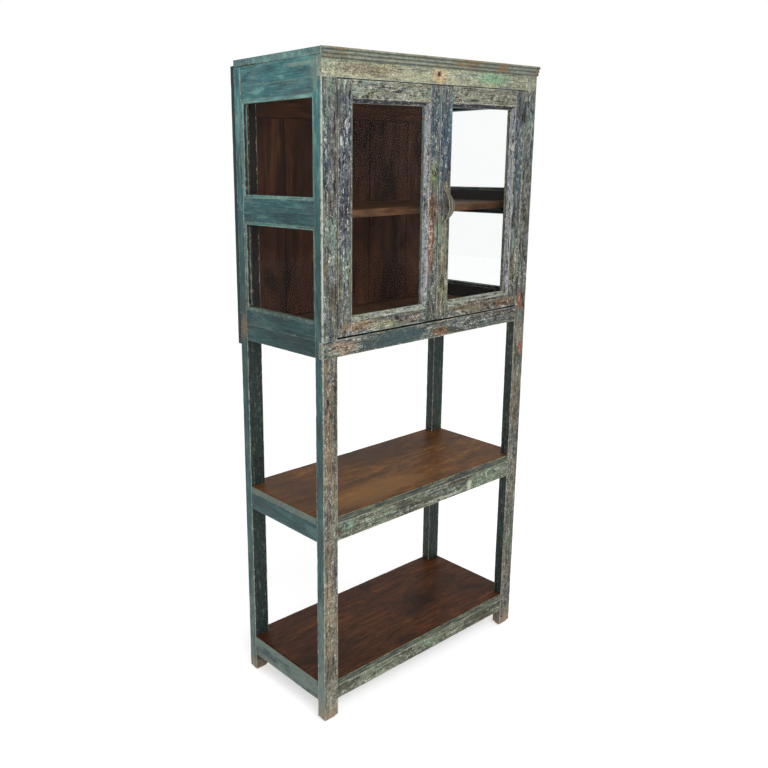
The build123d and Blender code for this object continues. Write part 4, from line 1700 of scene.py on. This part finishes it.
@dataclass
class Door:
    """One glazed door: four members, the pane and its beads."""

    side: str
    seed: int
    corner: float = 0.0
    bevel: float = 11.0 * MM
    seam: float = 0.12 * MM

    def build(self, finishes: Finishes) -> None:
        """Builds the door.

        Args:
            finishes: The finishes.
        """
        name = f"{self.side}_door"
        hinge_low, hinge_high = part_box(f"{name}_hinge_stile")
        meet_low, meet_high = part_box(f"{name}_meeting_stile")
        below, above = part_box(f"{name}_bottom_rail")[1].z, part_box(f"{name}_top_rail")[0].z
        span_z = (hinge_low.z, hinge_high.z)
        opening_z = (below - self.bevel, above + self.bevel)
        ordered = [("hinge", hinge_low, hinge_high), ("meeting", meet_low, meet_high)]
        if self.side == "right":
            ordered.reverse()
        (left_name, left_low, left_high), (right_name, right_low, right_high) = ordered
        opening_x = (left_high.x - self.bevel, right_low.x + self.bevel)
        span_x = (opening_x[0] + self.seam, opening_x[1] - self.seam)
        for number, (member, grain, outer, flat, opening, span, corner) in enumerate((
            (f"{left_name}_stile", Grain.Z, left_low.x, opening_x[0], opening_z, span_z, self.corner),
            (f"{right_name}_stile", Grain.Z, right_high.x, opening_x[1], opening_z, span_z, 0.0),
            ("bottom_rail", Grain.X, span_z[0], opening_z[0], opening_x, span_x, 0.0),
            ("top_rail", Grain.X, span_z[1], opening_z[1], opening_x, span_x, 0.0),
        )):
            place = (outer, flat, hinge_low.y, opening, span)
            DoorMember(f"{name}_{member}", grain, *place, self.seed + number, corner=corner).build(finishes)
        GlazingBeads(f"{name}_beads", Slot.LAYERED, self.seed + 10).build(finishes)
        CadPart(f"{name}_glass").dress(finishes.plain_finish(Slot.GLASS))


@dataclass
class PullHandle:
    """The forged strap bowed out from the right door, with a leaf at each end."""

    RATES = np.array([190.0, 410.0, 770.0, 1330.0])
    ROUNDINGS = np.array([1.0, 0.6, 1.0, 0.8, 0.8])

    node: str = "handle"
    pitch: float = 1.5 * MM
    rounding: float = 0.7 * MM
    crown: float = 0.5 * MM
    dent: float = 0.35 * MM
    end: float = 0.25 * MM
    seed: int = 701

    def build(self, finishes: Finishes) -> bpy.types.Object:
        """Builds the strap and puts it in place of its node.

        Args:
            finishes: The finishes.

        Returns:
            The object.
        """
        solid = CadShape.of_node(self.node)[0]
        low, high = float(solid.low()[2]), float(solid.high()[2])
        loft = Loft(Grain.Z, self.seed)
        phase = loft.random.random((5, 4)) * math.tau
        rings = int((high - low) / self.pitch) | 1
        stations = np.linspace(low + self.end, high - self.end, rings).tolist()

        sections: list[Section] = []
        for level in stations:
            u0, u1, v0, v1 = solid.section(Grain.Z, level + 0.003 * MM)
            crown = min(self.crown, (v1 - v0) / 4)
            corners = np.array([(u0, v0 + crown), ((u0 + u1) / 2, v0), (u1, v0 + crown), (u1, v1), (u0, v1)])
            dents = np.sin(level * self.RATES + phase).mean(axis=1)
            inward = (corners.mean(axis=0) - corners) / max(u1 - u0, MM)
            corners += inward * (self.dent * np.clip(dents + 0.2, 0, 1))[:, None]
            sections.append((corners, self.ROUNDINGS * self.rounding))
        loft.string(stations, sections)
        material = finishes.plain_finish(Slot.WORN_IRON)
        return stand_for(loft.object("handle_strap", material), self.node)


@dataclass
class Ironwork:
    """Hinges, bolt, latch and handle."""

    dark: tuple[str, ...] = (
        "hinge_frame_leaves", "hinge_pins", "left_hinge_leaves", "right_hinge_leaves",
        "bolt_plate", "bolt_rod",
    )
    rusty: tuple[str, ...] = ("latch_plate", "latch_link", "latch_staple")
    worn: tuple[str, ...] = ("handle_nails",)

    def build(self, finishes: Finishes) -> None:
        """Dresses every fitting.

        Args:
            finishes: The finishes.
        """
        kinds = {Slot.DARK_IRON: self.dark, Slot.RUSTY_IRON: self.rusty, Slot.WORN_IRON: self.worn}
        for slot, names in kinds.items():
            for name in names:
                CadPart(name).dress(finishes.plain_finish(slot))
        PullHandle().build(finishes)


@dataclass
class Studio:
    """Floor, light and camera."""

    MIDDLE = Vector((0.0, 0.0, 1.0))
    SENSOR = 36.0

    eye: tuple[float, float, float] = (-1.7526, -1.7421, 1.5702)
    turn: float = 0.684
    tilt: float = -0.241
    roll: float = -0.011
    lens: float = 38.86
    shift: tuple[float, float] = (0.101, -0.0263)
    floor_reach: float = 9.0
    floor_glow: float = 0.56
    sky: float = 0.55

    def build(self) -> None:
        """Sets up the studio."""
        self.set_camera()
        self.set_floor()
        self.set_light()
        bpy.context.scene.view_settings.view_transform = "Standard"
        bpy.context.scene.view_settings.look = "None"

    def set_camera(self) -> None:
        """Places the camera."""
        level = math.cos(self.tilt)
        ahead = Vector((math.sin(self.turn) * level, math.cos(self.turn) * level, math.sin(self.tilt)))
        right = Vector((math.cos(self.turn), -math.sin(self.turn), 0.0))
        up = right.cross(ahead)
        rolled = right * math.cos(self.roll) + up * math.sin(self.roll)
        upward = up * math.cos(self.roll) - right * math.sin(self.roll)
        data = bpy.data.cameras.new("camera")
        data.lens, data.sensor_width = self.lens, self.SENSOR
        data.shift_x, data.shift_y = self.shift
        made = bpy.data.objects.new("camera", data)
        aim = Matrix((rolled, upward, -ahead)).transposed().to_4x4()
        made.matrix_world = Matrix.Translation(self.eye) @ aim
        bpy.context.scene.collection.objects.link(made)
        bpy.context.scene.camera = made

    def set_floor(self) -> None:
        """Lays a plain pale floor."""
        mesh = bpy.data.meshes.new("floor")
        reach = self.floor_reach
        corners = [(x * reach, y * reach, 0.0) for x, y in ((-1, -1), (1, -1), (1, 1), (-1, 1))]
        mesh.from_pydata(corners, [], [(0, 1, 2, 3)])
        s = Shader("pale_floor")
        cloud = s.noise(s.place, 0.8, 2, 0.5)
        pale = s.over((0.93, 0.93, 0.93), (0.90, 0.90, 0.90), cloud)
        mesh.materials.append(
            s.surface(Base_Color=pale, Roughness=0.85, Emission_Color=pale, Emission_Strength=self.floor_glow)
        )
        made = bpy.data.objects.new("floor", mesh)
        bpy.context.scene.collection.objects.link(made)

    def set_light(self) -> None:
        """Hangs the soft lights and sets a pale surround."""
        world = bpy.data.worlds.new("surround")
        world.use_nodes = True
        tree = world.node_tree
        backdrop = tree.nodes["Background"]
        backdrop.inputs["Color"].default_value = (1.0, 1.0, 1.0, 1.0)
        backdrop.inputs["Strength"].default_value = 1.0
        surround = tree.nodes.new("ShaderNodeBackground")
        surround.inputs["Color"].default_value = (1.0, 1.0, 1.0, 1.0)
        surround.inputs["Strength"].default_value = self.sky
        seen, choice = tree.nodes.new("ShaderNodeLightPath"), tree.nodes.new("ShaderNodeMixShader")
        tree.links.new(seen.outputs["Is Camera Ray"], choice.inputs[0])
        tree.links.new(surround.outputs[0], choice.inputs[1])
        tree.links.new(backdrop.outputs[0], choice.inputs[2])
        tree.links.new(choice.outputs[0], tree.nodes["World Output"].inputs["Surface"])
        bpy.context.scene.world = world
        self.hang("key", (-1.8, -3.4, 3.6), 2.4, 95.0)
        self.hang("fill", (2.8, -2.6, 2.2), 2.0, 12.0)

    def hang(self, name: str, place: tuple[float, float, float], size: float, power: float) -> None:
        """Hangs one soft light that looks at the cabinet.

        Args:
            name: The light's name.
            place: Where it hangs.
            size: Its side, in metres.
            power: Its power, in watts.
        """
        data = bpy.data.lights.new(name, "AREA")
        data.size, data.energy = size, power
        made = bpy.data.objects.new(name, data)
        aim = (self.MIDDLE - Vector(place)).to_track_quat("-Z", "Y")
        made.matrix_world = Matrix.Translation(place) @ aim.to_matrix().to_4x4()
        bpy.context.scene.collection.objects.link(made)


def main() -> None:
    """Builds the studio and every sub-assembly of the cabinet."""
    logging.basicConfig(level=logging.INFO, format="%(name)s: %(message)s")
    finishes = Finishes()
    Studio().build()
    Posts().build(finishes)
    # Middle shelf patches: a golden one to the front left, partly the board's own tone and partly painted
    # light; a dark one towards the back, painted shade under the cupboard; a reddish-brown one to the left.
    ShelfTier("middle", OiledBoard(patches=(
        Patch((-0.16, -0.10, 0.627), (0.24, 0.06, 0.05), paint(158, 112, 56), 0.5),
        Patch((0.12, 0.10, 0.627), (0.34, 0.09, 0.05), paint(54, 34, 22), 0.55),
        Patch((-0.34, 0.06, 0.627), (0.10, 0.16, 0.05), paint(88, 60, 42), 0.4),
    )), 200).build(finishes)
    low_board = OiledBoard("low_board", paint(36, 20, 12), paint(80, 46, 26), paint(118, 70, 38))
    ShelfTier("bottom", low_board, 220).build(finishes)
    CupboardCase().build(finishes)
    Cornice().build(finishes)
    CadPart("side_panes").dress(finishes.plain_finish(Slot.GLASS))
    GlazingBeads("side_glazing_beads", Slot.TEAL, 500, LayeredPaint(
        edge_wear=0.6, teal=paint(70, 112, 108), teal_dark=paint(38, 66, 68), teal_light=paint(120, 160, 148)
    )).build(finishes)
    Door("left", 600).build(finishes)
    Door("right", 650, corner=8.0 * MM).build(finishes)
    Ironwork().build(finishes)


if __name__ == "__main__":
    main()
